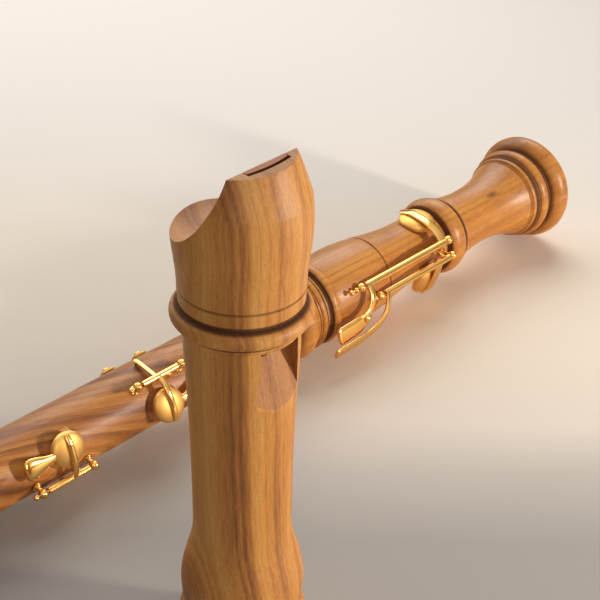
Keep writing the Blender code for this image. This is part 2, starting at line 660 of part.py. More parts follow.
class Key:
    """One key: where its cup, hinge, posts and touch are on the lying body."""

    tail_shift = 0.0
    knobs = 1

    def __init__(self, name, cup_station, post_reach, **values):
        self.name = name
        self.cup_station = cup_station
        self.posts = [cup_station + reach for reach in post_reach]
        self.__dict__.update(values)
        self.sign = 1.0 if self.hinge_angle > self.cup_angle else -1.0
        self.centre = on_body(self.hinge_angle, self.hinge_r)
        self.tube_low = self.posts[0] + self.ball_r + GAP
        self.tube_high = self.posts[1] - self.ball_r - GAP
        self.seat = math.sqrt(self.surface(self.cup_station) ** 2 - (self.cup_r * SEAT_SHARE) ** 2)
        self.floor = self.seat + GAP + PAD_STAND_OUT
        arm_room = self.arm_width / 2 + ARM_FROM_POST
        self.arm_station = min(max(self.cup_station, self.tube_low + arm_room), self.tube_high - arm_room)
        self.to_hinge = Matrix.Translation(-self.centre)
        self.cup_place = self.to_hinge @ radial(self.cup_angle, self.cup_station)
        self.shut = Matrix.Rotation(math.radians(self.lift) * self.sign, 4, "Z")
        self.cork_angle = self.hinge_angle + self.sign * self.tail
        self.tail_station = self.arm_station + self.tail_shift


MIDDLE_HINGE_R = MIDDLE_R + MIDDLE_HINGE_RISE
FOOT_HINGE_R = FOOT_BULB_R + FOOT_HINGE_RISE

FOOT_KEY = {
    "cup_r": FOOT_CUP_R, "dome_height": FOOT_DOME, "arm_width": FOOT_ARM_WIDTH, "hinge_r": FOOT_HINGE_R,
    "tube_r": FOOT_TUBE_R, "ball_r": FOOT_BALL_R, "knob_r": FOOT_KNOB_R, "surface": foot_surface,
}
MIDDLE_KEY = {
    "cup_r": MIDDLE_CUP_R, "dome_height": MIDDLE_DOME, "arm_width": MIDDLE_ARM_WIDTH,
    "hinge_r": MIDDLE_HINGE_R, "tube_r": MIDDLE_TUBE_R, "ball_r": MIDDLE_BALL_R, "knob_r": MIDDLE_KNOB_R,
    "surface": middle_surface, "hole_r": PADDED_HOLE_R, "lift": 13.0, "rest_open": True,
}
KEYS = (
    Key("hole_3", on_middle(HOLE_3_CUP), HOLE_3_POSTS, cup_angle=64.0, hinge_angle=105.0, spoon_way=1,
        tail=36.0, **MIDDLE_KEY),
    Key("hole_4", on_middle(HOLE_4_CUP), HOLE_4_POSTS, cup_angle=82.0, hinge_angle=39.0, spoon_way=-1,
        tail=40.0, tail_shift=HOLE_4_TAIL_SHIFT, **MIDDLE_KEY),
    Key("low_c_sharp", SHARP_CUP, (SHARP_POST - SHARP_CUP, SHARP_POST + SHARP_HINGE_LENGTH - SHARP_CUP),
        cup_angle=6.0, hole_r=SHARP_HOLE_R, hinge_angle=62.3, lift=12.0, rest_open=False,
        strip=SHARP_STRIP, tail=0.0, knobs=2, **FOOT_KEY),
    Key("low_c", LOW_C_CUP, (LOW_C_POST - LOW_C_CUP, LOW_C_POST + LOW_C_HINGE_LENGTH - LOW_C_CUP),
        cup_angle=122.0, hole_r=LOW_C_HOLE_R, hinge_angle=84.0, lift=10.0, rest_open=True,
        strip=LOW_C_STRIP, tail=18.0, tail_shift=LOW_C_TAIL_SHIFT, **FOOT_KEY),
)


def cup_outline(key):
    """Cup turned about Z: recess below for the pad, rounded wall, low dome on top."""
    recess_r = key.cup_r - CUP_WALL
    recess_top = key.floor + PAD_THICKNESS - PAD_STAND_OUT
    dome_base = key.floor + CUP_RIM_HEIGHT
    points = [(0, recess_top), (recess_r, recess_top), (recess_r, key.floor),
              (key.cup_r - CUP_EDGE, key.floor), (key.cup_r, key.floor + CUP_EDGE), (key.cup_r, dome_base)]
    points += arc(dome_base, 0, key.dome_height, key.cup_r - CUP_EDGE, 15, 75, 4)
    points.append((0, dome_base + key.dome_height))
    return points


def arm_stops(key):
    """The arm's way: up over the cup's dome from its far side, then down to the hinge tube."""
    out = on_body(key.cup_angle, 1.0)
    toward = on_body(key.cup_angle + 90 * key.sign, 1.0)
    crest = key.floor + CUP_RIM_HEIGHT + key.dome_height + ARM_THICKNESS / 3
    over_cup = ((-0.78, key.dome_height * 0.45), (-0.55, key.dome_height * 0.2), (-0.25, 0.0), (0.35, 0.0))
    line = [out * (crest - drop) + toward * key.cup_r * share for share, drop in over_cup]
    end = on_body(key.hinge_angle, key.hinge_r + key.tube_r * 0.3)
    start = line[-1]
    bend = start + toward * (end - start).dot(toward) * 0.6
    for t in (0.25, 0.5, 0.75, 1.0):
        line.append(start * (1 - t) ** 2 + bend * 2 * t * (1 - t) + end * t ** 2)
    shift = Vector((0, 0, key.arm_station)) - key.centre
    return [(point + shift, out, key.arm_width) for point in reversed(line)]


def tail_stops(key):
    """The tail's way from the hinge tube to its tip, flat over the cork where the open key rests."""
    out = on_body(key.cork_angle, 1.0)
    rest = key.surface(key.tail_station) + 2 * GAP + STOP_CORK_HEIGHT + TAIL_THICKNESS / 2
    along = on_body(key.cork_angle + 90, 1.0) * key.sign * (STOP_CORK_R + TAIL_PAST_CORK - TAIL_WIDTH / 2)
    shift = Vector((0, 0, key.tail_station))
    middle = on_body(key.cork_angle, rest) - key.centre
    root = on_body(key.hinge_angle + key.sign, key.hinge_r) - key.centre
    knee = key.shut @ (middle - along)
    tip = key.shut @ (middle + along)
    return [(point + shift, key.shut @ out, TAIL_WIDTH) for point in (root, knee, tip)]


def strip_stops(key):
    """A foot key's way to its touch; its route is given where the key rests."""
    back = key.shut if key.rest_open else Matrix.Identity(4)
    start = key.tube_high - STRIP_FROM_POST
    stops = []
    for along, turn, rise, width in smooth_route(key.strip, 3):
        angle = key.hinge_angle + turn
        point = back @ (on_body(angle, key.hinge_r + rise) - key.centre)
        stops.append((point + Vector((0, 0, start + along)), back @ on_body(angle, 1.0), width))
    return stops


def spoon(key):
    """A drop-shaped finger touch: narrow neck at the cup, wide rounded end."""
    neck_steps, end_steps = 4, 6
    widest = SPOON_LENGTH - SPOON_WIDTH / 2
    half = [(SPOON_WIDTH * between(0.2, 0.5, s_curve(i / neck_steps)), widest * i / neck_steps)
            for i in range(neck_steps)]
    half += arc(widest, 0, SPOON_WIDTH / 2, SPOON_WIDTH / 2, 0, 90, end_steps)[:-1]
    outline = [(x, y) for x, y in half] + [(0, SPOON_LENGTH)] + [(-x, y) for x, y in reversed(half)]
    plate = prism([(x, y * key.spoon_way) for x, y in outline], SPOON_THICKNESS)
    neck = Vector((0, key.spoon_way * (key.cup_r - SPOON_OVERLAP), key.floor + CUP_RIM_HEIGHT + CUP_EDGE))
    return placed(plate, key.cup_place @ Matrix.Translation(neck))


def spring_lug(key):
    """A little hook under the tube that the needle spring bears on."""
    side = key.sign if key.rest_open else -key.sign
    room = SPRING_R + GAP + SPRING_BELOW_HINGE * math.sin(math.radians(key.lift))
    faces = sorted((side * room, side * (room + LUG_THICKNESS)))
    station = key.posts[0] - SPRING_IN_POST + SPRING_LENGTH - LUG_WIDTH
    low = key.hinge_r - SPRING_BELOW_HINGE - SPRING_R
    lug = block(*faces, station - LUG_WIDTH / 2, station + LUG_WIDTH / 2, low, key.hinge_r)
    return placed(lug, key.to_hinge @ radial(key.hinge_angle, 0))


def build_key(key, materials, parent):
    """The lever in one piece: tube, cup, arm, touch, tail and spring lug."""
    axis = add_empty(key.name + "_hinge_axis", parent, key.centre)
    if key.rest_open:
        axis.rotation_euler = (0, 0, -key.sign * math.radians(key.lift))
    hinge_tube = rod(key.tube_r, key.tube_low, key.tube_high)
    lever = add_object(key.name + "_key", hinge_tube, axis, materials["gilt_brass"])
    cup = placed(turned(cup_outline(key), CUP_STEPS), key.cup_place)
    shapes = [cup, strip(arm_stops(key), ARM_THICKNESS), spring_lug(key)]
    if key.tail:
        shapes.append(strip(tail_stops(key), TAIL_THICKNESS))
    if key.surface is middle_surface:
        shapes.append(spoon(key))
    else:
        shapes.append(strip(strip_stops(key), STRIP_THICKNESS))
    carve(lever, [add_object("lever_part", shape, axis) for shape in shapes], "UNION")
    bore = rod(ROD_R + RUNNING_GAP, key.tube_low - CUT_PAST, key.tube_high + CUT_PAST)
    carve(lever, [add_object("rod_bore", bore, axis)])
    build_pad(key, materials, axis)
    if key.tail:
        build_stop_cork(key, materials, axis)


def build_pad(key, materials, axis):
    radius = key.cup_r - CUP_WALL - GAP
    bottom = key.floor - PAD_STAND_OUT
    top = bottom + PAD_THICKNESS - GAP
    outline = [(0, bottom), (radius - PAD_EDGE, bottom), (radius, bottom + PAD_EDGE), (radius, top), (0, top)]
    pad = turned(outline, CUP_STEPS)
    add_object(key.name + "_pad", placed(pad, key.cup_place), axis, materials["pad_leather"])


def build_stop_cork(key, materials, axis):
    """A cork disc glued under the tail, square to the wood where the open key rests."""
    bottom = key.surface(key.tail_station) + GAP
    disc = rod(STOP_CORK_R, bottom, bottom + STOP_CORK_HEIGHT)
    disc = placed(disc, key.shut @ key.to_hinge @ radial(key.cork_angle, key.tail_station))
    add_object(key.name + "_stop_cork", disc, axis, materials["cork"])


def post_outline(key, surface):
    """A shank in the wood, a flange where there is room, a stem and a ball round the hinge."""
    foot = surface + GAP
    flange_top = foot + POST_FLANGE_HEIGHT
    outline = [(0, surface - POST_SHANK), (POST_STEM_R, surface - POST_SHANK)]
    if key.hinge_r - key.ball_r > flange_top + POST_FLANGE_SLOPE:
        outline += [(POST_STEM_R, foot), (POST_FLANGE_R, foot), (POST_FLANGE_R, flange_top),
                    (POST_STEM_R, flange_top + POST_FLANGE_SLOPE)]
    neck = math.degrees(math.asin(POST_STEM_R / key.ball_r)) - 90
    outline += arc(key.hinge_r, 0, key.ball_r, key.ball_r, neck, 90, 5)[:-1]
    return outline + [(0, key.hinge_r + key.ball_r)]


def build_posts(key, materials, parent):
    """The two ball posts; the lower one also holds the needle spring."""
    for label, station in zip(("bell", "head"), key.posts):
        post = placed(turned(post_outline(key, key.surface(station))), radial(key.hinge_angle, station))
        post = add_object("%s_post_%s" % (key.name, label), post, parent, materials["gilt_brass"])
        past = key.ball_r + CUT_PAST
        hole = rod(ROD_R + RUNNING_GAP, station - past, station + past)
        cuts = [add_object("post_hole", placed(hole, Matrix.Translation(key.centre)), parent)]
        if label == "bell":
            hole = rod(SPRING_R + RUNNING_GAP, station - past, station + past)
            cuts.append(add_object("spring_hole", placed(hole, spring_place(key)), parent))
        carve(post, cuts)


def spring_place(key):
    return Matrix.Translation(on_body(key.hinge_angle, key.hinge_r - SPRING_BELOW_HINGE))


def build_hinge_rod(key, materials, parent):
    """The rod through both balls and the tube, with round knobs outside the upper ball."""
    start = key.posts[0] - key.ball_r * 0.6
    first = key.posts[1] + key.ball_r + GAP + KNOB_HALF
    outline = [(0, start), (ROD_R, start)]
    for i in range(key.knobs):
        outline += bead(first + i * KNOB_PITCH, KNOB_HALF, key.knob_r, ROD_R, 4)
    outline += [(0, outline[-1][1])]
    pin = placed(turned(outline), Matrix.Translation(key.centre))
    add_object(key.name + "_hinge_rod", pin, parent, materials["gilt_brass"])


def build_spring(key, materials, parent):
    start = key.posts[0] - SPRING_IN_POST
    point = start + SPRING_LENGTH
    outline = [(0, start), (SPRING_R, start), (SPRING_R, point - LUG_WIDTH / 2), (SPRING_R * 0.4, point),
               (0, point)]
    needle = placed(turned(outline, 8), spring_place(key))
    add_object(key.name + "_spring", needle, parent, materials["spring_steel"])


def cut_for_key(key, wood, parent):
    """The flat seat, the tone hole and the post sockets in the wood."""
    at_cup = radial(key.cup_angle, key.cup_station)
    seat = rod(key.cup_r + SEAT_MARGIN, key.seat, key.surface(key.cup_station) + CUT_PAST, CUP_STEPS)
    hole = rod(key.hole_r, HOLE_START_R, key.seat + CUT_PAST, HOLE_STEPS)
    cuts = [add_object("cut_for_cup", placed(cutter, at_cup), parent) for cutter in (seat, hole)]
    for station in key.posts:
        surface = key.surface(station)
        socket = rod(POST_STEM_R + GAP, surface - POST_SHANK - GAP, surface + CUT_PAST)
        cuts.append(add_object("cut_post", placed(socket, radial(key.hinge_angle, station)), parent))
    carve(wood, cuts)


def arc_plate(start, end, inner, outer, length, station):
    """A plate curved round the body between two angles."""
    steps = max(3, round((end - start) / 8))
    angles = [between(start, end, i / steps) for i in range(steps + 1)]
    points = [on_body(a, outer) for a in angles] + [on_body(a, inner) for a in reversed(angles)]
    return placed(prism([(p.x, p.y) for p in points], length), Matrix.Translation((0, 0, station)))


def build_thumb_rest(materials, parent, wood):
    """A plate curved to the tube with a hook for the thumb and two ears held by wood screws."""
    inner = MIDDLE_R + GAP
    outer = inner + THUMB_REST_THICKNESS
    rest_station = on_middle(THUMB_REST_PLACE)
    plate = arc_plate(*THUMB_REST_ARC, inner, outer, THUMB_REST_LENGTH, rest_station)
    rest = add_object("thumb_rest", plate, parent, materials["gilt_brass"])
    shapes = [thumb_hook(inner, outer, rest_station)]
    stations = [rest_station + way * THUMB_SCREW_SPACING / 2 for way in (-1, 1)]
    ear_start = THUMB_REST_ARC[1] - 1.0
    ear_end = THUMB_EAR_ANGLE + THUMB_EAR_HALF_ARC
    for station in stations:
        shapes.append(arc_plate(ear_start, ear_end, inner, outer, THUMB_EAR_WIDTH, station))
    carve(rest, [add_object("rest_part", shape, parent) for shape in shapes], "UNION")
    for i, station in enumerate(stations):
        place = radial(THUMB_EAR_ANGLE, station)
        build_thumb_screw("thumb_rest_screw_%d" % (i + 1), materials, parent, place, outer)
        for target in (rest, wood):
            clear = rod(THUMB_SCREW_R + GAP, MIDDLE_R - THUMB_SCREW_LENGTH - GAP, outer + CUT_PAST)
            carve(target, [add_object("screw_hole", placed(clear, place), parent)])


def thumb_hook(inner, outer, station):
    """A flat upright plate with a rounded top, leaning towards the head end."""
    half = THUMB_HOOK_WIDTH / 2
    top = outer + THUMB_HOOK_HEIGHT
    corner = THUMB_HOOK_WIDTH / 3
    side = [(half, inner + GAP)] + arc(top - corner, half - corner, corner, corner, 0, 90, 4)
    outline = side + [(-x, z) for x, z in reversed(side)]
    hook = prism(outline, THUMB_HOOK_THICKNESS)
    lean = math.atan(THUMB_HOOK_LEAN / THUMB_HOOK_HEIGHT)
    root = Matrix.Translation((0, 0, outer))
    stand = root @ Matrix.Rotation(-lean, 4, "X") @ root.inverted()
    upright = Matrix.Rotation(math.radians(90), 4, "X")
    middle = sum(THUMB_REST_ARC) / 2
    return placed(hook, radial(middle, station) @ stand @ upright)


def build_thumb_screw(name, materials, parent, place, plate_top):
    """A wood screw with a domed, slotted head."""
    seat = plate_top + GAP
    bottom = MIDDLE_R - THUMB_SCREW_LENGTH
    outline = [(0, bottom), (THUMB_SCREW_R / 2, bottom), (THUMB_SCREW_R, bottom + THUMB_SCREW_R),
               (THUMB_SCREW_R, seat)]
    outline += arc(seat, 0, THUMB_SCREW_HEAD_HEIGHT, THUMB_SCREW_HEAD_R, 0, 90, 4)[:-1]
    outline += [(0, seat + THUMB_SCREW_HEAD_HEIGHT)]
    screw = add_object(name, placed(turned(outline), place), parent, materials["gilt_brass"])
    half = THUMB_SCREW_SLOT / 2
    slot_floor = seat + THUMB_SCREW_HEAD_HEIGHT - THUMB_SCREW_SLOT
    slot = block(-half, half, -CUT_PAST, CUT_PAST, slot_floor, seat + CUT_PAST)
    carve(screw, [add_object("cut_slot", placed(slot, place), parent)])


def build_body(materials, axis):
    corked = GAP + CORK_THICKNESS
    shoulder = FOOT_LENGTH + MIDDLE_LENGTH
    lower = (FOOT_LENGTH - FOOT_SOCKET_DEPTH + TENON_END_GAP, FOOT_SOCKET_R - corked)
    upper = (shoulder + HEAD_SOCKET_DEPTH - TENON_END_GAP, HEAD_SOCKET_R - corked)
    foot = add_object("foot_joint", turned(foot_outline(), LARGE_STEPS), axis, materials["oiled_wood"])
    middle = turned(middle_outline(lower, upper), LARGE_STEPS)
    middle = add_object("middle_joint", middle, axis, materials["oiled_wood"])
    cork_ring("lower_tenon_cork", materials, axis, lower[0], 1, lower[1])
    cork_ring("upper_tenon_cork", materials, axis, upper[0], -1, upper[1])
    holes = [(FINGER_LINE, share, radius) for share, radius in OPEN_HOLES]
    holes.append((FINGER_LINE + 180, *THUMB_HOLE))
    cuts = []
    for angle, share, radius in holes:
        hole = rod(radius, HOLE_START_R, MIDDLE_R + CUT_PAST, HOLE_STEPS)
        cuts.append(add_object("cut_tone_hole", placed(hole, radial(angle, on_middle(share))), axis))
    carve(middle, cuts)
    build_thumb_rest(materials, axis, middle)
    for key in KEYS:
        build_key(key, materials, axis)
        build_posts(key, materials, axis)
        build_hinge_rod(key, materials, axis)
        build_spring(key, materials, axis)
        cut_for_key(key, foot if key.surface is foot_surface else middle, axis)


def centre_on_origin(roots):
    """Shift everything sideways so that the box's middle is over the origin."""
    bpy.context.view_layer.update()
    meshes = [obj for obj in bpy.data.objects if obj.type == "MESH"]
    corners = [obj.matrix_world @ v.co for obj in meshes for v in obj.data.vertices]
    for i in (0, 1):
        middle = (min(c[i] for c in corners) + max(c[i] for c in corners)) / 2
        for root in roots:
            root.location[i] -= middle
    bpy.context.view_layer.update()


def lay_body():
    """The body's frame: it rests on the bell's rim and on the ring at the other end."""
    ring_station = FOOT_LENGTH + MIDDLE_LENGTH - SHOULDER_CHAMFER
    tilt = math.atan((RIM_R - MIDDLE_R - TOP_RING_RISE) / (ring_station - RIM_STATION))
    up = Vector((-math.sin(tilt), 0, math.cos(tilt)))
    to_head = Vector((-math.cos(tilt), 0, -math.sin(tilt)))
    lying = add_empty("lying_axis")
    lying.rotation_euler = Matrix((up, to_head.cross(up), to_head)).transposed().to_euler()
    rim_height = (RIM_R - RIM_HALF) * math.cos(tilt) + RIM_HALF
    lying.location = Vector((0, 0, rim_height)) - to_head * RIM_STATION
    return lying


def main():
    clear_scene()
    materials = make_materials()
    lying = lay_body()
    head_base = add_empty("head_base", location=(-HEAD_BEHIND_RIM, -HEAD_BESIDE_AXIS, 0))
    bpy.context.view_layer.update()
    build_head(materials, head_base)
    build_body(materials, lying)
    centre_on_origin((lying, head_base))


main()
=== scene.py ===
"""Looks of a tenor recorder taken apart: a standing head joint and a lying body with gilt keys.

Lengths are in metres. The head is made about its own upright axis with its window towards -Y.
The body is made about Z, with stations counted from the bell's end face, X at its top and angles
counted from the top towards the side that faces the head. One matrix lays it down at the end.
"""
import math
import bmesh
import bpy
from mathutils import Matrix, Vector


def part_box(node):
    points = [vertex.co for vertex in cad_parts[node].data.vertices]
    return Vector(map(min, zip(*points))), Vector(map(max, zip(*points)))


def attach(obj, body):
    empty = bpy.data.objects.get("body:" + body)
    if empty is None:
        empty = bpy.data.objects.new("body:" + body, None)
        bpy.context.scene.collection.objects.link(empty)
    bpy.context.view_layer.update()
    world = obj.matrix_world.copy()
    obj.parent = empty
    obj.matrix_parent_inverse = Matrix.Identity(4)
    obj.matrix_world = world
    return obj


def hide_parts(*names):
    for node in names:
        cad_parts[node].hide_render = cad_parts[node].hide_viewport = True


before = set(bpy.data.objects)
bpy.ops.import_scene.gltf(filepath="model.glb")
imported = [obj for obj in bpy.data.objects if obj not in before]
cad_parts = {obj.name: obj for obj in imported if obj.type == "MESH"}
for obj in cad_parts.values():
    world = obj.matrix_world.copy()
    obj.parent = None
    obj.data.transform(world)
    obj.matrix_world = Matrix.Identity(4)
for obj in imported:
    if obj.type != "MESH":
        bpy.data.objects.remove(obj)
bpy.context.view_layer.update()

MM = 0.001
GAP = 0.3 * MM

# Places of the two parts in the frame
TILT = math.asin(0.031855)
UP = Vector((-math.sin(TILT), 0, math.cos(TILT)))
TO_HEAD = Vector((-math.cos(TILT), 0, -math.sin(TILT)))
BELL_LIP_R = 23.0 * MM
LIE_HEIGHT = 29.711 * MM
head_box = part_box("head_joint")
foot_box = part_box("foot_joint")
HEAD_BASE = Vector(((head_box[0].x + head_box[1].x) / 2, (head_box[0].y + head_box[1].y) / 2, 0))
BODY_ORIGIN = Vector((foot_box[1].x - BELL_LIP_R * math.sin(TILT),
                      (foot_box[0].y + foot_box[1].y) / 2, LIE_HEIGHT))

# The camera's level direction and its right side
VIEW_AHEAD = Vector((0.7187, 0.695, 0)).normalized()
VIEW_RIGHT = Vector((VIEW_AHEAD.y, -VIEW_AHEAD.x, 0))

# Lamps: turn from the camera's right side, height in degrees, distance, size, power and colour
LIT_SPOT = Vector((-0.02, 0.03, 0.03))
LAMPS = (
    ("side_light", -18, 14, 0.8, (0.08, 0.08), 4.7, (1.0, 0.93, 0.84)),
    ("front_light", -75, 25, 1.2, (0.7, 0.5), 2.8, (1.0, 0.95, 0.9)),
    ("back_light", 85, 45, 1.2, (0.8, 0.8), 7.6, (1.0, 0.97, 0.94)),
    ("window_light", 135, 32, 1.2, (0.7, 0.6), 4.4, (1.0, 0.98, 0.96)),
)

# Painted shade on the table: its tones from the darker near side to its far side, as shares of the way, standing in
# for light that falls off towards the near side
FLOOR_SHADE_TONES = ((0.0, (0.42, 0.39, 0.36)), (0.09, (0.58, 0.53, 0.48)), (0.17, (0.84, 0.75, 0.65)),
               (0.3, (0.92, 0.81, 0.68)), (0.48, (0.94, 0.83, 0.70)), (0.7, (0.89, 0.82, 0.74)), (1.0, (0.88, 0.83, 0.77)))

# Turned wood, as in the part
BORE_R = 11.4 * MM
HEAD_SOCKET = (13.6 * MM, 32.0 * MM)
FOOT_SOCKET = (12.4 * MM, 28.0 * MM)
FOOT_BORE_R = 8.2 * MM
GROOVE_DEPTH = 0.55 * MM
GROOVE_HALF = 0.45 * MM
HEAD_TOP = 193.4 * MM
RING = 142.8 * MM
RING_R = 21.75 * MM
NECK_R = 17.9 * MM
NECK_STEP = 0.7 * MM
CAP_LOW_R = 19.25 * MM
CAP_R = 20.8 * MM
CAP_WIDEST = 172.6 * MM
BEAK_CORNER = 180.4 * MM
BEAK_CORNER_R = 20.3 * MM
BEAK_TIP_R = 15.4 * MM
BEAK_END_SLOPE = 3.2
SCOOP_DEPTH = 23.3 * MM
SCOOP_HALF = 22.2 * MM
SCOOP_BEHIND = 13.5 * MM
SCOOP_FLOOR = 168.4 * MM
WINDWAY_WIDTH = 16.2 * MM
WINDWAY_ROOF = 12.3 * MM
WINDWAY_HEIGHT = 1.3 * MM
WINDWAY_ARCH_R = 38.0 * MM
WINDOW_TOP = 137.0 * MM
WINDOW_HEIGHT = 4.8 * MM
WINDOW_WIDTH = 15.0 * MM
RAMP_LENGTH = 16.9 * MM
RAMP_SPREAD = 1.9 * MM
LIP_R = 11.9 * MM
FOOT_LENGTH = 207.0 * MM
MIDDLE_LENGTH = 243.0 * MM
MIDDLE_R = 14.9 * MM
BULB_R = 20.9 * MM
BEAD_R = 21.6 * MM
BARREL_R = 16.0 * MM
BARREL_END = 113.0 * MM
BULB = 164.0 * MM
BULB_LINE = 144.5 * MM
FINGER_LINE = 70.0
OPEN_HOLES = ((0.8477, 3.2), (0.6914, 3.4), (0.1852, 3.6), (0.0494, 3.2))
THUMB_HOLE = (0.9095, 3.0)
CORK_LENGTH = 18.0 * MM
CORK_SETBACK = 5.0 * MM
CORK_THICKNESS = 1.0 * MM

# Steps round the turned wood, the cups and the small metal
ROUND_STEPS = 144
CUP_STEPS = 72
ROD_STEPS = 32


# Shapes

def mesh_object(name, bm, materials, crease=35.0):
    """A finished mesh with smooth faces and sharp creases."""
    mesh = bpy.data.meshes.new(name)
    bm.to_mesh(mesh)
    bm.free()
    for material in materials:
        mesh.materials.append(material)
    mesh.shade_smooth()
    mesh.set_sharp_from_angle(angle=math.radians(crease))
    obj = bpy.data.objects.new(name, mesh)
    bpy.context.scene.collection.objects.link(obj)
    return obj


def arc(centre_z, centre_r, half_z, half_r, start, end, steps):
    """Points of an elliptical arc in the (radius, station) plane; 0 degrees points outwards."""
    angles = [math.radians(start + (end - start) * i / steps) for i in range(steps + 1)]
    return [(centre_r + half_r * math.cos(a), centre_z + half_z * math.sin(a)) for a in angles]


def bead(centre_z, half, top_r, base_r, steps=20):
    return arc(centre_z, base_r, half, top_r - base_r, -90, 90, steps)


def groove(centre_z, surface_r):
    """An incised line with a rounded bottom."""
    shape = ((1.25, -0.02), (1.0, 0.1), (0.6, 0.7), (0.25, 0.97), (0.0, 1.0))
    low = [(surface_r - GROOVE_DEPTH * max(d, 0), centre_z - GROOVE_HALF * z) for z, d in shape]
    high = [(r, 2 * centre_z - z) for r, z in reversed(low[:-1])]
    return low + high


def between(start, end, t):
    return start + (end - start) * t


def s_curve(t):
    return 0.5 - 0.5 * math.cos(math.pi * min(max(t, 0.0), 1.0))


def ease(z0, r0, z1, r1, steps=24):
    shares = [i / steps for i in range(steps + 1)]
    return [(between(r0, r1, s_curve(t)), between(z0, z1, t)) for t in shares]


def swell(z0, r0, z1, r1, power, steps=24):
    shares = [i / steps for i in range(steps + 1)]
    return [(between(r0, r1, t ** power), between(z0, z1, t)) for t in shares]


def turned(outline, steps):
    """Spin a closed (radius, station) outline round Z; it is solid where it touches the axis."""
    bm = bmesh.new()
    verts = [bm.verts.new((r, 0, z)) for r, z in outline]
    on_axis = outline[0][0] < 1e-9 and outline[-1][0] < 1e-9
    last = len(verts) - 1 if on_axis else len(verts)
    edges = [bm.edges.new((verts[i], verts[(i + 1) % len(verts)])) for i in range(last)]
    bmesh.ops.spin(bm, geom=verts + edges, cent=(0, 0, 0), axis=(0, 0, 1), dvec=(0, 0, 0),
                   angle=2 * math.pi, steps=steps, use_merge=True, use_duplicate=False)
    bmesh.ops.remove_doubles(bm, verts=bm.verts, dist=2e-6)
    bmesh.ops.recalc_face_normals(bm, faces=bm.faces)
    return bm


def rod(radius, z0, z1, steps=ROD_STEPS):
    return turned([(0, z0), (radius, z0), (radius, z1), (0, z1)], steps)


def block(x0, x1, y0, y1, z0, z1):
    bm = bmesh.new()
    bmesh.ops.create_cube(bm, size=1.0)
    bmesh.ops.scale(bm, verts=bm.verts, vec=(x1 - x0, y1 - y0, z1 - z0))
    bmesh.ops.translate(bm, verts=bm.verts, vec=((x0 + x1) / 2, (y0 + y1) / 2, (z0 + z1) / 2))
    return bm


def prism(outline, depth, axis=2):
    """Extrude a flat outline by the depth, centred: (y, z) along axis 0 or (x, y) along axis 2."""
    bm = bmesh.new()
    order = {0: (2, 0, 1), 2: (0, 1, 2)}[axis]
    verts = [bm.verts.new([(a, b, -depth / 2)[i] for i in order]) for a, b in outline]
    face = bm.faces.new(verts)
    shift = Vector((0, 0, 0))
    shift[axis] = depth
    extruded = bmesh.ops.extrude_face_region(bm, geom=[face])
    moved = [v for v in extruded["geom"] if isinstance(v, bmesh.types.BMVert)]
    bmesh.ops.translate(bm, verts=moved, vec=shift)
    bmesh.ops.recalc_face_normals(bm, faces=bm.faces)
    return bm


def swept(rings):
    """A closed solid through flat rings of points, each extruded from the one before."""
    bm = bmesh.new()
    face = bm.faces.new([bm.verts.new(co) for co in rings[0]])
    for ring in rings[1:]:
        made = bmesh.ops.extrude_face_region(bm, geom=[face, *face.edges, *face.verts])
        face = [f for f in made["geom"] if isinstance(f, bmesh.types.BMFace)][0]
        for vert, co in zip(face.verts, ring):
            vert.co = co
    bmesh.ops.recalc_face_normals(bm, faces=bm.faces)
    return bm


def placed(bm, matrix):
    bmesh.ops.transform(bm, matrix=matrix, verts=bm.verts)
    return bm


def joined(parts):
    """Several closed shells in one mesh."""
    whole = bmesh.new()
    for part in parts:
        mesh = bpy.data.meshes.new("part")
        part.to_mesh(mesh)
        part.free()
        whole.from_mesh(mesh)
        bpy.data.meshes.remove(mesh)
    return whole


def on_body(angle, radius, station=0.0):
    a = math.radians(angle)
    return Vector((radius * math.cos(a), -radius * math.sin(a), station))


def radial(angle, station):
    """Turn a piece modelled along Z so that its Z points outwards at an angle and station."""
    out = on_body(angle, 1.0)
    along = Vector((0, 0, 1))
    matrix = Matrix((along.cross(out), along, out)).transposed().to_4x4()
    matrix.translation = (0, 0, station)
    return matrix


def smooth_route(shade_marks, steps):
    """A smooth line through the marks; each mark is a tuple of numbers that change together."""
    route = []
    last = len(shade_marks) - 1
    for i in range(last):
        near = (shade_marks[max(i - 1, 0)], shade_marks[i], shade_marks[i + 1], shade_marks[min(i + 2, last)])
        for k in range(steps):
            t = k / steps
            route.append(tuple(
                b + 0.5 * t * (c - a + t * (2 * a - 5 * b + 4 * c - d + t * (3 * (b - c) + d - a)))
                for a, b, c, d in zip(*near)))
    route.append(tuple(shade_marks[-1]))
    return route


def strap_section(width, thickness, crown):
    """Cross-section of a strap, rounded at its edges and raised in the middle by the crown."""
    across = (-1.0, -0.985, -0.93, -0.8, -0.55, -0.25, 0.0, 0.25, 0.55, 0.8, 0.93, 0.985, 1.0)
    half = [thickness / 2 * (1 - abs(s) ** 5) ** 0.5 for s in across]
    top = [(s * width / 2, h + crown * (1 - s * s)) for s, h in zip(across, half)]
    under = [(s * width / 2, -h) for s, h in zip(across, half)]
    return top + under[-2:0:-1]


def strap(stops, thickness, crown=0.0, end_steps=7, blunt=1.0):
    """A strap along its stops, each a point, an outward direction and a width; the far end is rounded."""
    point, out, width = stops[-1]
    full = max(stop[2] for stop in stops)
    ahead = (point - stops[-2][0]).normalized()
    stops = list(stops)
    for i in range(1, end_steps + 1):
        a = math.radians(89) * i / end_steps
        stops.append((point + ahead * blunt * width / 2 * math.sin(a), out, width * math.cos(a) ** blunt))
    rings = []
    for i, (point, out, width) in enumerate(stops):
        ahead = stops[min(i + 1, len(stops) - 1)][0] - stops[max(i - 1, 0)][0]
        side = ahead.cross(out).normalized()
        up = side.cross(ahead).normalized()
        end = min(1.0, 0.25 + 3.0 * width / full)
        section = strap_section(width, thickness * end, crown * width / full)
        rings.append([point + side * x + up * z for x, z in section])
    return swept(rings)


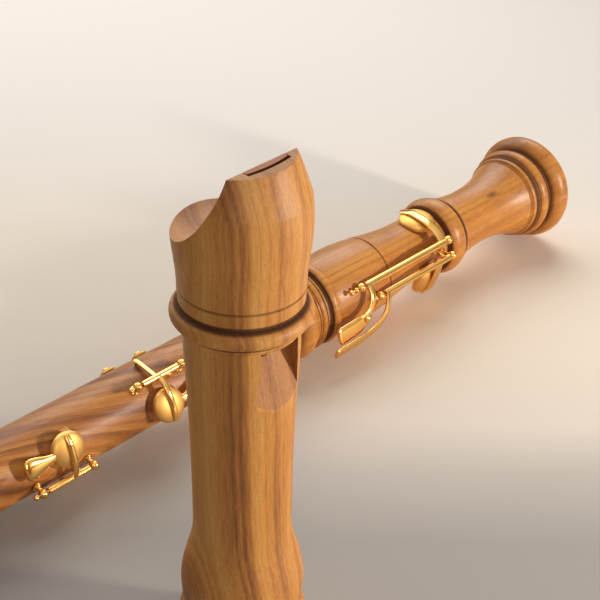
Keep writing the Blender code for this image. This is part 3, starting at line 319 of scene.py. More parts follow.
def cut(target, tools, operation="DIFFERENCE", finish=1):
    """Cut the tools from a piece; the cut faces take one of the piece's further materials."""
    for bm in tools:
        for face in bm.faces:
            face.material_index = min(finish, len(target.data.materials) - 1)
        tool = mesh_object("tool", bm, list(target.data.materials))
        modifier = target.modifiers.new("tool", "BOOLEAN")
        modifier.object = tool
        modifier.operation = operation
        modifier.solver = "MANIFOLD"
        bpy.context.view_layer.update()
        result = bpy.data.meshes.new_from_object(
            target.evaluated_get(bpy.context.evaluated_depsgraph_get()))
        target.modifiers.clear()
        target.data = result
        bpy.data.objects.remove(tool, do_unlink=True)


def soften(obj, offset, least=35.0):
    """Round the rims where two finishes of a cut piece meet."""
    bm = bmesh.new()
    bm.from_mesh(obj.data)
    bmesh.ops.remove_doubles(bm, verts=bm.verts, dist=0.02 * MM)
    bmesh.ops.dissolve_degenerate(bm, edges=bm.edges, dist=0.02 * MM)
    rims = [e for e in bm.edges if len(e.link_faces) == 2 and e.calc_face_angle(0) > math.radians(least)
            and {f.material_index for f in e.link_faces} in ({0, 1}, {0, 3})]
    bmesh.ops.bevel(bm, geom=rims, offset=offset, segments=2, profile=0.5, affect="EDGES", material=-1,
                    clamp_overlap=True)
    bm.to_mesh(obj.data)
    bm.free()
    weighted = obj.modifiers.new("flat_faces_stay_flat", "WEIGHTED_NORMAL")
    weighted.keep_sharp = True


def finish_piece(obj, matrix, body, nodes=(), crease=35.0):
    """Put the piece in its place in the frame and say what it rides on and stands for."""
    obj.data.transform(matrix)
    obj.data.shade_smooth()
    obj.data.set_sharp_from_angle(angle=math.radians(crease))
    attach(obj, body)
    if nodes:
        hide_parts(*nodes)
    return obj


# Camera, floor and light

def aim_camera():
    """The photograph's viewpoint, found by fitting the head's ring and the body's outlines."""
    pitch = math.radians(31.06)
    roll = math.radians(1.575)
    forward = VIEW_AHEAD * math.cos(pitch) + Vector((0, 0, -math.sin(pitch)))
    up = VIEW_RIGHT.cross(forward)
    rolled_right = VIEW_RIGHT * math.cos(roll) + up * math.sin(roll)
    rolled_up = up * math.cos(roll) - VIEW_RIGHT * math.sin(roll)
    camera = bpy.data.cameras.new("camera")
    camera.lens = 72
    camera.sensor_width = 36
    camera.shift_y = -0.5 / 600
    obj = bpy.data.objects.new("camera", camera)
    matrix = Matrix((rolled_right, rolled_up, -forward)).transposed().to_4x4()
    matrix.translation = HEAD_BASE + Vector((-0.20644, -0.22355, 0.32899))
    obj.matrix_world = matrix
    bpy.context.scene.collection.objects.link(obj)
    bpy.context.scene.camera = obj


def soft_light(name, place, target, size, power, colour):
    light = bpy.data.lights.new(name, "AREA")
    light.shape = "RECTANGLE"
    light.size, light.size_y = size
    light.energy = power
    light.color = colour
    obj = bpy.data.objects.new(name, light)
    way = Vector(target) - Vector(place)
    obj.location = place
    obj.rotation_euler = way.to_track_quat("-Z", "Y").to_euler()
    bpy.context.scene.collection.objects.link(obj)


def light_studio():
    """A small low lamp on the right, soft ones in front and behind, and a weak pale room."""
    world = bpy.data.worlds.new("studio")
    bpy.context.scene.world = world
    world.use_nodes = True
    tree = world.node_tree
    background = tree.nodes["Background"]
    background.inputs["Color"].default_value = (1.0, 0.97, 0.93, 1.0)
    path = tree.nodes.new("ShaderNodeLightPath")
    rays = path.outputs["Is Camera Ray"]
    for kind in ("Is Glossy Ray", "Is Transmission Ray"):
        seen = tree.nodes.new("ShaderNodeMath")
        seen.operation = "MAXIMUM"
        tree.links.new(rays, seen.inputs[0])
        tree.links.new(path.outputs[kind], seen.inputs[1])
        rays = seen.outputs[0]
    way = tree.nodes.new("ShaderNodeSeparateXYZ")
    tree.links.new(tree.nodes.new("ShaderNodeTexCoord").outputs["Generated"], way.inputs["Vector"])
    sky = tree.nodes.new("ShaderNodeMapRange")
    sky.inputs["To Min"].default_value = 0.12
    sky.inputs["To Max"].default_value = 1.0
    tree.links.new(way.outputs["Z"], sky.inputs["Value"])
    level = tree.nodes.new("ShaderNodeMapRange")
    level.inputs["To Min"].default_value = 0.06
    tree.links.new(rays, level.inputs["Value"])
    tree.links.new(sky.outputs["Result"], level.inputs["To Max"])
    tree.links.new(level.outputs["Result"], background.inputs["Strength"])
    for name, turn, height, reach, size, power, colour in LAMPS:
        turn, height = math.radians(turn), math.radians(height)
        level_way = VIEW_RIGHT * math.cos(turn) + VIEW_AHEAD * math.sin(turn)
        place = level_way * math.cos(height) + Vector((0, 0, math.sin(height)))
        soft_light(name, LIT_SPOT + place * reach, LIT_SPOT, size, power, colour)


def lay_floor():
    bm = bmesh.new()
    bmesh.ops.create_grid(bm, x_segments=1, y_segments=1, size=6.0)
    floor = mesh_object("table_top", bm, [floor_finish()])


# Finishes

class Finish:
    """A Principled material whose nodes are added one by one."""

    def __init__(self, name, **settings):
        self.material = bpy.data.materials.new(name)
        self.material.use_nodes = True
        self.tree = self.material.node_tree
        self.shader = self.tree.nodes["Principled BSDF"]
        for socket, value in settings.items():
            self.shader.inputs[socket.replace("_", " ")].default_value = value

    def node(self, kind, sockets=None, **properties):
        node = self.tree.nodes.new("ShaderNode" + kind)
        for key, value in properties.items():
            setattr(node, key, value)
        for key, value in (sockets or {}).items():
            self.feed(node.inputs[key], value)
        return node

    def feed(self, socket, value):
        if isinstance(value, bpy.types.NodeSocket):
            self.tree.links.new(value, socket)
        else:
            socket.default_value = value

    def drive(self, socket, value):
        self.feed(self.shader.inputs[socket], value)

    def math(self, operation, a, b=0.0):
        return self.node("Math", {0: a, 1: b}, operation=operation).outputs[0]

    def span(self, value, low, high, out_low=0.0, out_high=1.0):
        """The value's share between two limits, clamped, on a new scale."""
        sockets = {"Value": value, "From Min": low, "From Max": high, "To Min": out_low, "To Max": out_high}
        return self.node("MapRange", sockets).outputs["Result"]

    def noise(self, vector, scale, detail=2.0, roughness=0.5, output="Fac"):
        sockets = {"Vector": vector, "Scale": scale, "Detail": detail, "Roughness": roughness}
        return self.node("TexNoise", sockets).outputs[output]

    def line_noise(self, value, scale, detail=2.0, roughness=0.5):
        sockets = {"W": value, "Scale": scale, "Detail": detail, "Roughness": roughness}
        return self.node("TexNoise", sockets, noise_dimensions="1D").outputs["Fac"]

    def scaled(self, vector, scale):
        return self.node("VectorMath", {0: vector, 1: scale}, operation="MULTIPLY").outputs[0]

    def blend(self, factor, a, b, blend_type="MIX"):
        node = self.node("Mix", data_type="RGBA", blend_type=blend_type)
        for socket, value in ((node.inputs["Factor"], factor), (node.inputs[6], a), (node.inputs[7], b)):
            self.feed(socket, value)
        return node.outputs[2]

    def ramp(self, value, stops):
        node = self.node("ValToRGB", {"Fac": value})
        band = node.color_ramp
        for i, (place, colour) in enumerate(stops):
            element = band.elements[i] if i < 2 else band.elements.new(place)
            element.position = place
            element.color = (*colour, 1.0)
        return node.outputs["Color"]

    def bumps(self, heights):
        """Chain bump nodes; each height is (socket, distance in metres, strength)."""
        normal = None
        for height, distance, strength in heights:
            sockets = {"Height": height, "Distance": distance, "Strength": strength}
            if normal is not None:
                sockets["Normal"] = normal
            normal = self.node("Bump", sockets).outputs["Normal"]
        self.drive("Normal", normal)


def linear(red, green, blue):
    """A colour given in screen values from 0 to 255."""
    return tuple(((v / 255 + 0.055) / 1.055) ** 2.4 if v > 10 else v / 255 / 12.92 for v in (red, green, blue))


def floor_finish():
    """A pale table with painted shade: greyer on its near side, where the light falls off."""
    floor = Finish("pale_table", Roughness=0.6, Specular_IOR_Level=0.25)
    place = floor.node("TexCoord").outputs["Object"]
    ahead = floor.node("VectorMath", {0: place, 1: VIEW_AHEAD}, operation="DOT_PRODUCT").outputs["Value"]
    cloud = floor.math("MULTIPLY", floor.math("SUBTRACT", floor.noise(place, 9.0, 2.0), 0.5), 0.02)
    ahead = floor.span(floor.math("ADD", ahead, cloud), -0.06, 0.4)
    # painted shade: the table's colour darkens towards its near side
    floor.drive("Base Color", floor.ramp(ahead, FLOOR_SHADE_TONES))
    return floor.material


def wood_place(wood, origin, turn):
    """The piece's own coordinates in millimetres, with Z along the grain."""
    place = wood.node("TexCoord").outputs["Object"]
    sockets = {"Vector": place, "Location": origin, "Rotation": turn, "Scale": (MM, MM, MM)}
    return wood.node("Mapping", sockets, vector_type="TEXTURE").outputs["Vector"]


def wood_finish(name, origin, turn, figure, tones, shaded_lines=(), shaded_coves=(), knots=(), roughness=0.4):
    """Oiled fruit wood: year rings, streaks, fibres, pores and knots running along the piece, with painted shade in
    its incised lines and coves.
    """
    wood = Finish(name, Roughness=roughness, Specular_IOR_Level=0.5)
    place = wood_place(wood, origin, turn)
    sockets = {"Vector": place, "Location": figure["pith"], "Rotation": figure["lean"]}
    grain = wood.node("Mapping", sockets, vector_type="POINT").outputs["Vector"]
    swing = wood.noise(wood.scaled(grain, figure["swing_scale"]), 1.0, 2.0, 0.45, "Color")
    swing = wood.node("VectorMath", {0: swing, 1: (-0.5, -0.5, -0.5)}, operation="ADD").outputs[0]
    swing = wood.scaled(swing, (figure["swing"], figure["swing"], 0.0))
    warped = wood.node("VectorMath", {0: swing, 1: wood.scaled(grain, (1, 1, 0))}, operation="ADD").outputs[0]
    ring = wood.node("VectorMath", {0: warped}, operation="LENGTH").outputs["Value"]

    broad = wood.line_noise(ring, figure["broad"], 1.0, 0.4)
    narrow = wood.line_noise(ring, figure["narrow"], 2.0, 0.5)
    mottle = wood.noise(wood.scaled(grain, (0.07, 0.07, 0.014)), 1.0, 3.0, 0.55)
    fibre = wood.noise(wood.scaled(grain, (3.2, 3.2, 0.06)), 1.0, 3.0, 0.6)
    speck = wood.noise(wood.scaled(grain, (1.3, 1.3, 0.09)), 1.0, 2.0, 0.7)
    parts = ((broad, figure["contrast"] * 0.6), (narrow, figure["contrast"] * 0.4), (mottle, 0.3), (speck, 0.3))
    tone = 0.5
    for part, weight in parts:
        part = wood.math("MULTIPLY", wood.math("SUBTRACT", part, 0.5), weight)
        tone = wood.math("ADD", part, tone)
    colour = wood.ramp(tone, tones)

    late = wood.math("ABSOLUTE", wood.math("SUBTRACT", wood.line_noise(ring, figure["late"], 0.0), 0.5))
    late = wood.math("ADD", late, wood.math("MULTIPLY", wood.math("SUBTRACT", fibre, 0.5), 0.02))
    late = wood.span(late, 0.0, 0.026, 1.0, 0.0)
    late = wood.math("MULTIPLY", late, wood.span(mottle, 0.4, 0.6, 0.1, figure["late_depth"]))
    colour = wood.blend(late, colour, (*figure["late_colour"], 1.0))

    pore = wood.span(wood.noise(wood.scaled(grain, (5.5, 5.5, 0.6)), 1.0, 1.0, 0.5), 0.58, 0.72)
    colour = wood.blend(wood.math("MULTIPLY", pore, 0.35), colour, (*linear(112, 68, 32), 1.0))

    for spot, spread, depth in knots:
        sockets = {0: wood.scaled(place, spread), 1: [a * b for a, b in zip(spot, spread)]}
        gap = wood.node("VectorMath", sockets, operation="DISTANCE").outputs["Value"]
        gap = wood.math("ADD", gap, wood.math("MULTIPLY", wood.math("SUBTRACT", fibre, 0.5), 0.6))
        mark = wood.span(gap, 0.1, 1.0, depth, 0.0)
        colour = wood.blend(mark, colour, (*linear(84, 44, 18), 1.0))
    height = wood.node("SeparateXYZ", {"Vector": place}).outputs["Z"]
    # Painted shade: the incised lines and the coves between beads are darkened by station, standing in for the shade
    # that falls in them
    shade_marks = [(station, 0.15, 0.55, 0.6) for station in shaded_lines]
    shade_marks += [(station, 0.45 * reach / MM, reach / MM, 0.9) for station, reach in shaded_coves]
    shade = 0.0
    for station, near, far, depth in shade_marks:
        gap = wood.math("ABSOLUTE", wood.math("SUBTRACT", height, station / MM))
        shade = wood.math("MAXIMUM", wood.span(gap, near, far, depth, 0.0), shade)
    if shade_marks:
        colour = wood.blend(shade, colour, (*linear(70, 30, 9), 1.0))
    wood.drive("Base Color", colour)
    rough = wood.span(fibre, 0.3, 0.7, roughness - 0.04, roughness + 0.06)
    rough = wood.math("ADD", rough, wood.math("MULTIPLY", pore, 0.15))
    wood.drive("Roughness", wood.math("ADD", rough, wood.math("MULTIPLY", shade, 0.4)))
    wood.bumps(((fibre, 0.03 * MM, 0.5), (pore, 0.05 * MM, -0.4)))
    return wood.material


GILT_TONES = ((0.3, (0.92, 0.50, 0.13)), (0.7, (0.98, 0.58, 0.18)))


def cedar_finish(name, origin):
    cedar = Finish(name, Roughness=0.6)
    place = wood_place(cedar, origin, (0, 0, 0))
    wave = cedar.noise(cedar.scaled(place, (0.35, 2.6, 0.05)), 1.0, 3.0, 0.6)
    colour = cedar.ramp(wave, ((0.3, linear(170, 92, 38)), (0.5, linear(192, 112, 50)), (0.7, linear(208, 130, 62))))
    cedar.drive("Base Color", colour)
    cedar.bumps(((wave, 0.04 * MM, 0.4),))
    return cedar.material


def gilt_finish(name, roughness, grain, shade):
    """Gold plate: faint colour change, fine brushed or polished surface."""
    tones = [(share, tuple(shade * part for part in tone)) for share, tone in GILT_TONES]
    gilt = Finish(name, Metallic=1.0, Roughness=roughness)
    place = gilt.node("TexCoord").outputs["Object"]
    cloud = gilt.noise(place, 180.0, 2.0)
    gilt.drive("Base Color", gilt.ramp(cloud, tones))
    fine = gilt.noise(place, 2600.0, 3.0, 0.7)
    gilt.drive("Roughness", gilt.span(fine, 0.3, 0.7, roughness * 0.8, roughness * 1.25))
    gilt.bumps(((fine, 0.01 * MM, grain),))
    return gilt.material


def cork_finish():
    cork = Finish("sanded_cork", Roughness=0.85)
    place = cork.node("TexCoord").outputs["Object"]
    grain = cork.node("TexVoronoi", {"Vector": place, "Scale": 900.0}).outputs["Distance"]
    cloud = cork.noise(place, 500.0, 3.0)
    colour = cork.ramp(cork.math("ADD", grain, cloud), ((0.5, linear(204, 160, 112)), (0.95, linear(188, 142, 94)),
                                                        (1.3, linear(142, 98, 62))))
    cork.drive("Base Color", colour)
    cork.bumps(((grain, 0.08 * MM, 0.5),))
    return cork.material


def leather_finish():
    leather = Finish("pad_skin", Roughness=0.65)
    place = leather.node("TexCoord").outputs["Object"]
    grain = leather.node("TexVoronoi", {"Vector": place, "Scale": 1800.0}, feature="DISTANCE_TO_EDGE").outputs["Distance"]
    cloud = leather.noise(place, 300.0, 3.0)
    leather.drive("Base Color", leather.ramp(cloud, ((0.3, linear(172, 126, 84)), (0.7, linear(196, 152, 106)))))
    leather.bumps(((grain, 0.03 * MM, 0.5),))
    return leather.material


def steel_finish():
    steel = Finish("blued_steel", Metallic=1.0, Roughness=0.3)
    place = steel.node("TexCoord").outputs["Object"]
    cloud = steel.noise(place, 400.0, 2.0)
    steel.drive("Base Color", steel.ramp(cloud, ((0.3, (0.08, 0.10, 0.17)), (0.7, (0.14, 0.15, 0.2)))))
    steel.drive("Roughness", steel.span(cloud, 0.3, 0.7, 0.24, 0.36))
    return steel.material


# Head joint

def socket_end(socket_r):
    """Outside of a socket, from its mouth at 0 to its bulb's edge."""
    base = BEAD_R - 1.8 * MM
    points = [(socket_r + 0.5 * MM, 0)] if socket_r else []
    points += arc(5.2 * MM, BEAD_R - 3.6 * MM, 5.2 * MM, 4.2 * MM, -90, 55, 20)
    points += groove(11.8 * MM, base)
    points += bead(14.4 * MM, 1.6 * MM, BEAD_R - GROOVE_DEPTH, base, 14)
    points += [(BEAD_R - 2.6 * MM, 16.6 * MM), (BEAD_R - 2.6 * MM, 18.8 * MM)]
    points += bead(22.4 * MM, 2.6 * MM, BEAD_R, base, 18)
    points += [(BULB_R - GROOVE_DEPTH, 26.5 * MM)]
    return points


def head_outline():
    neck = RING - 5.4 * MM
    upper_line = RING + 8.6 * MM
    points = socket_end(HEAD_SOCKET[0]) + [(BULB_R, 36.0 * MM)]
    points += ease(36.0 * MM, BULB_R, 62.0 * MM, 16.3 * MM, 30)[1:]
    points += swell(62.0 * MM, 16.3 * MM, 130.0 * MM, NECK_R, 2.3, 24)[1:]
    points += [(NECK_R, neck - 0.2 * MM), (NECK_R + 0.2 * MM, neck + 0.05 * MM)]
    points += [(NECK_R + NECK_STEP, neck + NECK_STEP), (NECK_R + NECK_STEP, RING - 3.0 * MM)]
    points += bead(RING, 3.0 * MM, RING_R, NECK_R + NECK_STEP, 28)[1:-1]
    points += [(CAP_LOW_R - GROOVE_DEPTH, RING + 3.0 * MM)]
    points += groove(RING + 3.9 * MM, CAP_LOW_R - GROOVE_DEPTH / 3)
    points += groove(upper_line, CAP_LOW_R)
    points += ease(upper_line + 1.25 * GROOVE_HALF, CAP_LOW_R, CAP_WIDEST, CAP_R, 24)[1:]
    points += ease(CAP_WIDEST, CAP_R, 2 * BEAK_CORNER - CAP_WIDEST, 2 * BEAK_CORNER_R - CAP_R, 24)[1:13]
    points += swell(HEAD_TOP, BEAK_TIP_R, BEAK_CORNER, BEAK_CORNER_R, 0.85, 16)[-2::-1]
    points += [(BORE_R, HEAD_TOP), (BORE_R, HEAD_SOCKET[1])]
    points += [(HEAD_SOCKET[0], HEAD_SOCKET[1]), (HEAD_SOCKET[0], 0.5 * MM)]
    return points


def arch_drop(x):
    return x * x / (2 * WINDWAY_ARCH_R)


def windway_slab(width, z0, z1, roof, floor, steps=20):
    """A bar with arched top and bottom, as the windway's space or the block's raised floor."""
    half = width / 2
    across = [between(-half, half, i / steps) for i in range(steps + 1)]
    outline = [(x, -(roof - arch_drop(x))) for x in across]
    outline += [(x, -(floor - arch_drop(x))) for x in reversed(across)]
    return placed(prism(outline, z1 - z0), Matrix.Translation((0, 0, (z0 + z1) / 2)))


def scoop_tool():
    """The big drum that hollows the back of the beak."""
    outline = arc(SCOOP_FLOOR + SCOOP_DEPTH, SCOOP_BEHIND, SCOOP_DEPTH, SCOOP_HALF, 180, 360, 96)
    top = HEAD_TOP + 3 * MM
    outline += [(SCOOP_BEHIND + SCOOP_HALF, top), (SCOOP_BEHIND - SCOOP_HALF, top)]
    return prism(outline, 4 * CAP_R, 0)


def beak_end_tool():
    wide = 3 * CAP_R
    slope = Matrix.Rotation(-math.radians(BEAK_END_SLOPE), 4, "Y")
    return placed(block(-wide, wide, -wide, wide, 0, CAP_R),
                  Matrix.Translation((BEAK_TIP_R, 0, HEAD_TOP)) @ slope)


def window_tool():
    """The window through the wall and its slanting ramp, whose arched floor rises and widens from the lip."""
    slope = (NECK_R - NECK_STEP - LIP_R) / RAMP_LENGTH
    reach = NECK_R + 3 * MM
    run = (reach - LIP_R) / slope
    lip = WINDOW_TOP - WINDOW_HEIGHT
    half = WINDOW_WIDTH / 2
    deep = BORE_R - 4 * MM
    stages = ((WINDOW_TOP, deep, half), (lip, deep, half), (lip - 0.05 * MM, LIP_R, half),
              (lip - run, reach, half + RAMP_SPREAD * run / RAMP_LENGTH))
    steps = 16
    rings = []
    for z, r, wide in stages:
        across = [between(-wide, wide, i / steps) for i in range(steps + 1)]
        ring = [(x, arch_drop(x) - r, z) for x in across]
        rings.append(ring + [(wide, -reach - 3 * MM, z), (-wide, -reach - 3 * MM, z)])
    return swept(rings)


def make_head(wood, cut_wood, windway_shade_wood, shaded_ramp_wood, cedar):
    place = Matrix.Translation(HEAD_BASE)
    head = mesh_object("head_wood", turned(head_outline(), ROUND_STEPS), [wood, cut_wood, windway_shade_wood, shaded_ramp_wood])
    inside = BORE_R - 3 * MM
    slab = windway_slab(WINDWAY_WIDTH, WINDOW_TOP - GAP, HEAD_TOP + 3 * MM, WINDWAY_ROOF, inside)
    # the windway's faces take the painted-shade wood, dark for the shade in the narrow slot
    cut(head, [slab], finish=2)
    # the window and its ramp take the darker copy of the cut wood: painted shade in the window's recess
    cut(head, [window_tool()], finish=3)
    cut(head, [scoop_tool(), beak_end_tool()])
    soften(head, 0.3 * MM)
    finish_piece(head, place, "head", ["head_joint"])

    wood_block = mesh_object("cedar_block", rod(BORE_R - GAP, WINDOW_TOP, HEAD_TOP, ROUND_STEPS), [cedar, windway_shade_wood])
    floor = WINDWAY_ROOF - WINDWAY_HEIGHT
    bar = WINDWAY_WIDTH - 2 * GAP
    cut(wood_block, [windway_slab(bar, WINDOW_TOP, HEAD_TOP, floor + 0.5 * MM, inside)], "UNION", 0)
    # the windway floor cut into the block takes the painted-shade wood too
    cut(wood_block, [windway_slab(bar + 3 * MM, WINDOW_TOP - 3 * MM, HEAD_TOP + 3 * MM, WINDWAY_ROOF + 3 * MM, floor)])
    cut(wood_block, [block(-BORE_R, BORE_R, -WINDWAY_ROOF, 0.9 * MM - floor, WINDOW_TOP - 3 * MM, WINDOW_TOP + 0.9 * MM),
                     scoop_tool(), beak_end_tool()], finish=0)
    finish_piece(wood_block, place, "head", ["windway_block"])


# Body: foot and middle joints

def foot_surface(station):
    return between(BARREL_R, BULB_R, s_curve((station - BARREL_END) / (BULB - BARREL_END)))


def middle_surface(station):
    return MIDDLE_R


def on_middle(share):
    return FOOT_LENGTH + share * MIDDLE_LENGTH


def foot_outline():
    lip = BELL_LIP_R
    points = [(15.0 * MM, 0), (lip, 0)]
    points += arc(7.0 * MM, lip, 6.5 * MM, 6.5 * MM, -80, 85, 32)
    points += bead(19.0 * MM, 3.2 * MM, 25.3 * MM, lip, 20)
    points += bead(26.0 * MM, 1.4 * MM, 22.9 * MM, 21.3 * MM + GROOVE_DEPTH, 12)
    points += groove(28.4 * MM, 21.3 * MM)
    points += swell(61.0 * MM, 15.6 * MM, 28.4 * MM + 1.25 * GROOVE_HALF, 21.3 * MM, 2.5, 30)[-2::-1]
    points += ease(61.0 * MM, 15.6 * MM, 79.9 * MM, 17.0 * MM, 20)[1:-1]
    points += bead(81.2 * MM, 1.3 * MM, 18.4 * MM, 17.0 * MM, 12)
    points += arc(89.2 * MM, 17.6 * MM, 5.7 * MM, 3.4 * MM, -75, 80, 30)
    start = BULB_LINE - 1.25 * GROOVE_HALF
    end = BULB_LINE + 1.25 * GROOVE_HALF
    points += [(foot_surface(z), z) for z in [95.3 * MM] + [between(BARREL_END, start, i / 16) for i in range(16)]]
    points += groove(BULB_LINE, foot_surface(BULB_LINE))
    points += [(foot_surface(z), z) for z in [between(end, BULB, i / 10) for i in range(1, 10)]]
    points += [(BULB_R, BULB)]
    points += [(r, FOOT_LENGTH - z) for r, z in reversed(socket_end(FOOT_SOCKET[0]))]
    points += [(FOOT_SOCKET[0], FOOT_LENGTH - 0.5 * MM)]
    socket_floor = FOOT_LENGTH - FOOT_SOCKET[1]
    points += [(FOOT_SOCKET[0], socket_floor), (FOOT_BORE_R, socket_floor)]
    points += swell(26.0 * MM, FOOT_BORE_R, 0, 15.0 * MM, 1.6, 12)[:-1]
    return points


def tenon_end(end, sign, core_r):
    lip = core_r + 0.6 * MM
    seat_start = end + sign * CORK_SETBACK
    seat_end = seat_start + sign * CORK_LENGTH
    round_off = 0.5 * MM
    return [(lip - round_off, end), (lip, end + sign * round_off), (lip, seat_start), (core_r - GAP, seat_start),
            (core_r - GAP, seat_end), (lip, seat_end)]


def middle_outline(lower, upper):
    low, high = FOOT_LENGTH + GAP, FOOT_LENGTH + MIDDLE_LENGTH
    ring_r, ring_low = MIDDLE_R + 0.5 * MM, high - 6.0 * MM
    points = [(8.8 * MM, lower[0])] + tenon_end(lower[0], 1, lower[1])
    points += [(lower[1] + 0.6 * MM, low), (MIDDLE_R - 0.6 * MM, low), (MIDDLE_R - 0.15 * MM, low + 0.15 * MM),
               (MIDDLE_R, low + 0.6 * MM)]
    points += [(MIDDLE_R, between(low + 0.6 * MM, ring_low - 0.5 * MM, i / 12)) for i in range(1, 13)]
    points += [(ring_r - 0.1 * MM, ring_low - 0.2 * MM), (ring_r, ring_low + 0.1 * MM), (ring_r, high - 0.6 * MM),
               (ring_r - 0.15 * MM, high - 0.15 * MM), (ring_r - 0.6 * MM, high)]
    points += [(upper[1] + 0.6 * MM, high)] + tenon_end(upper[0], -1, upper[1])[::-1] + [(10.4 * MM, upper[0])]
    return points


def hole_tool(radius, angle, station, start=4.0 * MM, past=3.0 * MM, rim=0.35 * MM, surface=MIDDLE_R):
    """A tone hole with its edge rounded off towards the finger."""
    outline = [(0, start), (radius, start), (radius, surface - 1.1 * rim), (radius + 0.25 * rim, surface - 0.45 * rim),
               (radius + rim, surface), (radius + 1.6 * rim, surface + past), (0, surface + past)]
    return placed(turned(outline, 48), radial(angle, station))


def key_cuts(key):
    """The flat seat, the tone hole and the post sockets in the wood."""
    at_cup = radial(key.cup_angle, key.cup_station)
    cuts = [placed(rod(key.cup_r + 0.8 * MM, key.seat, key.surface(key.cup_station) + 3 * MM, CUP_STEPS), at_cup),
            placed(rod(key.hole_r, 4.0 * MM, key.seat + 3 * MM, 48), at_cup)]
    for station in key.posts:
        surface = key.surface(station)
        socket = rod(1.1 * MM + GAP, surface - 3.0 * MM - GAP, surface + 3 * MM)
        cuts.append(placed(socket, radial(key.hinge_angle, station)))
    return cuts


def make_body(foot_wood, foot_cut, middle_wood, middle_cut, cork, place):
    foot = mesh_object("foot_wood", turned(foot_outline(), ROUND_STEPS), [foot_wood, foot_cut])
    cut(foot, [bm for key in KEYS if key.surface is foot_surface for bm in key_cuts(key)])
    finish_piece(foot, place, "foot", ["foot_joint"])

    corked = GAP + CORK_THICKNESS
    shoulder = FOOT_LENGTH + MIDDLE_LENGTH
    lower = (FOOT_LENGTH - FOOT_SOCKET[1] + 1.0 * MM, FOOT_SOCKET[0] - corked)
    upper = (shoulder + HEAD_SOCKET[1] - 1.0 * MM, HEAD_SOCKET[0] - corked)
    middle = mesh_object("middle_wood", turned(middle_outline(lower, upper), ROUND_STEPS), [middle_wood, middle_cut])
    holes = [hole_tool(radius * MM, FINGER_LINE, on_middle(share)) for share, radius in OPEN_HOLES]
    holes.append(hole_tool(THUMB_HOLE[1] * MM, FINGER_LINE + 180, on_middle(THUMB_HOLE[0])))
    holes += [bm for key in KEYS if key.surface is middle_surface for bm in key_cuts(key)]
    holes += [placed(rod(0.9 * MM + GAP, MIDDLE_R - 3.3 * MM, MIDDLE_R + 4 * MM), radial(THUMB_EAR_ANGLE, station))
              for station in thumb_screw_stations()]
    cut(middle, holes)
    finish_piece(middle, place, "middle", ["middle_joint"])

    for name, end, sign, core_r in (("lower_tenon_cork", lower[0], 1, lower[1]),
                                    ("upper_tenon_cork", upper[0], -1, upper[1])):
        low, high = sorted((end + sign * (CORK_SETBACK + GAP), end + sign * (CORK_SETBACK + CORK_LENGTH - GAP)))
        top = core_r + CORK_THICKNESS
        outline = [(core_r, low), (top - 0.3 * MM, low), (top, low + 0.4 * MM), (top, high - 0.4 * MM),
                   (top - 0.3 * MM, high), (core_r, high)]
        lapping = mesh_object(name.replace("tenon_cork", "cork_lapping"), turned(outline, 96), [cork])
        finish_piece(lapping, place, "middle", [name])


# Keys

class Key:
    """One key: where its cup, hinge, posts and touch are on the lying body, as in the part."""

    tail_shift = 0.0
    knobs = 1
    boss = 0.0

    def __init__(self, name, cup_station, posts, body, **values):
        self.name = name
        self.cup_station = cup_station
        self.posts = posts
        self.body = body
        self.__dict__.update(values)
        self.sign = 1.0 if self.hinge_angle > self.cup_angle else -1.0
        self.centre = on_body(self.hinge_angle, self.hinge_r)
        self.tube_low = posts[0] + self.ball_r + GAP
        self.tube_high = posts[1] - self.ball_r - GAP
        self.seat = math.sqrt(self.surface(cup_station) ** 2 - (self.cup_r * 0.87) ** 2)
        self.floor = self.seat + GAP + 0.8 * MM
        room = self.arm_width / 2 + 0.4 * MM
        self.arm_station = min(max(cup_station, self.tube_low + room), self.tube_high - room)
        self.to_hinge = Matrix.Translation(-self.centre)
        self.cup_place = self.to_hinge @ radial(self.cup_angle, cup_station)
        self.shut = Matrix.Rotation(math.radians(self.lift) * self.sign, 4, "Z")
        self.rest = Matrix.Translation(self.centre) @ (self.shut.inverted() if self.rest_open else Matrix.Identity(4))


MIDDLE_KEY = {"cup_r": 7.7 * MM, "dome_height": 2.6 * MM, "arm_width": 2.0 * MM, "band": 2.7 * MM, "hinge_r": MIDDLE_R + 4.9 * MM,
              "tube_r": 1.5 * MM, "ball_r": 2.1 * MM, "knob_r": 1.2 * MM, "surface": middle_surface,
              "hole_r": 3.6 * MM, "lift": 13.0, "rest_open": True}
FOOT_KEY = {"cup_r": 9.4 * MM, "dome_height": 3.4 * MM, "arm_width": 3.2 * MM, "band": 5.4 * MM, "hinge_r": BULB_R + 2.7 * MM,
            "tube_r": 1.85 * MM, "ball_r": 2.35 * MM, "knob_r": 1.4 * MM, "surface": foot_surface}
HOLE_3, HOLE_4 = on_middle(0.5432), on_middle(0.3333)
SHARP_STRIP = ((0.0, 0.0, 0.8, 3.4, 0.0), (0.8, 13.5, 2.3, 3.6, 0.0), (4.0, 26.0, 3.0, 4.0, 6.0),
               (9.0, 33.0, 3.6, 6.6, 14.0), (14.0, 36.0, 3.9, 8.8, 18.0), (25.0, 37.5, 3.9, 9.0, 20.0))
LOW_C_STRIP = ((0.0, 0.0, 0.8, 3.2, 0.0), (2.6, 9.5, 3.2, 3.5, 0.0), (6.5, 17.0, 5.3, 3.8, 4.0),
               (13.5, 22.5, 6.9, 4.3, 4.0), (23.5, 25.4, 7.7, 5.4, 2.0), (41.5, 26.9, 7.9, 6.1, 2.0))
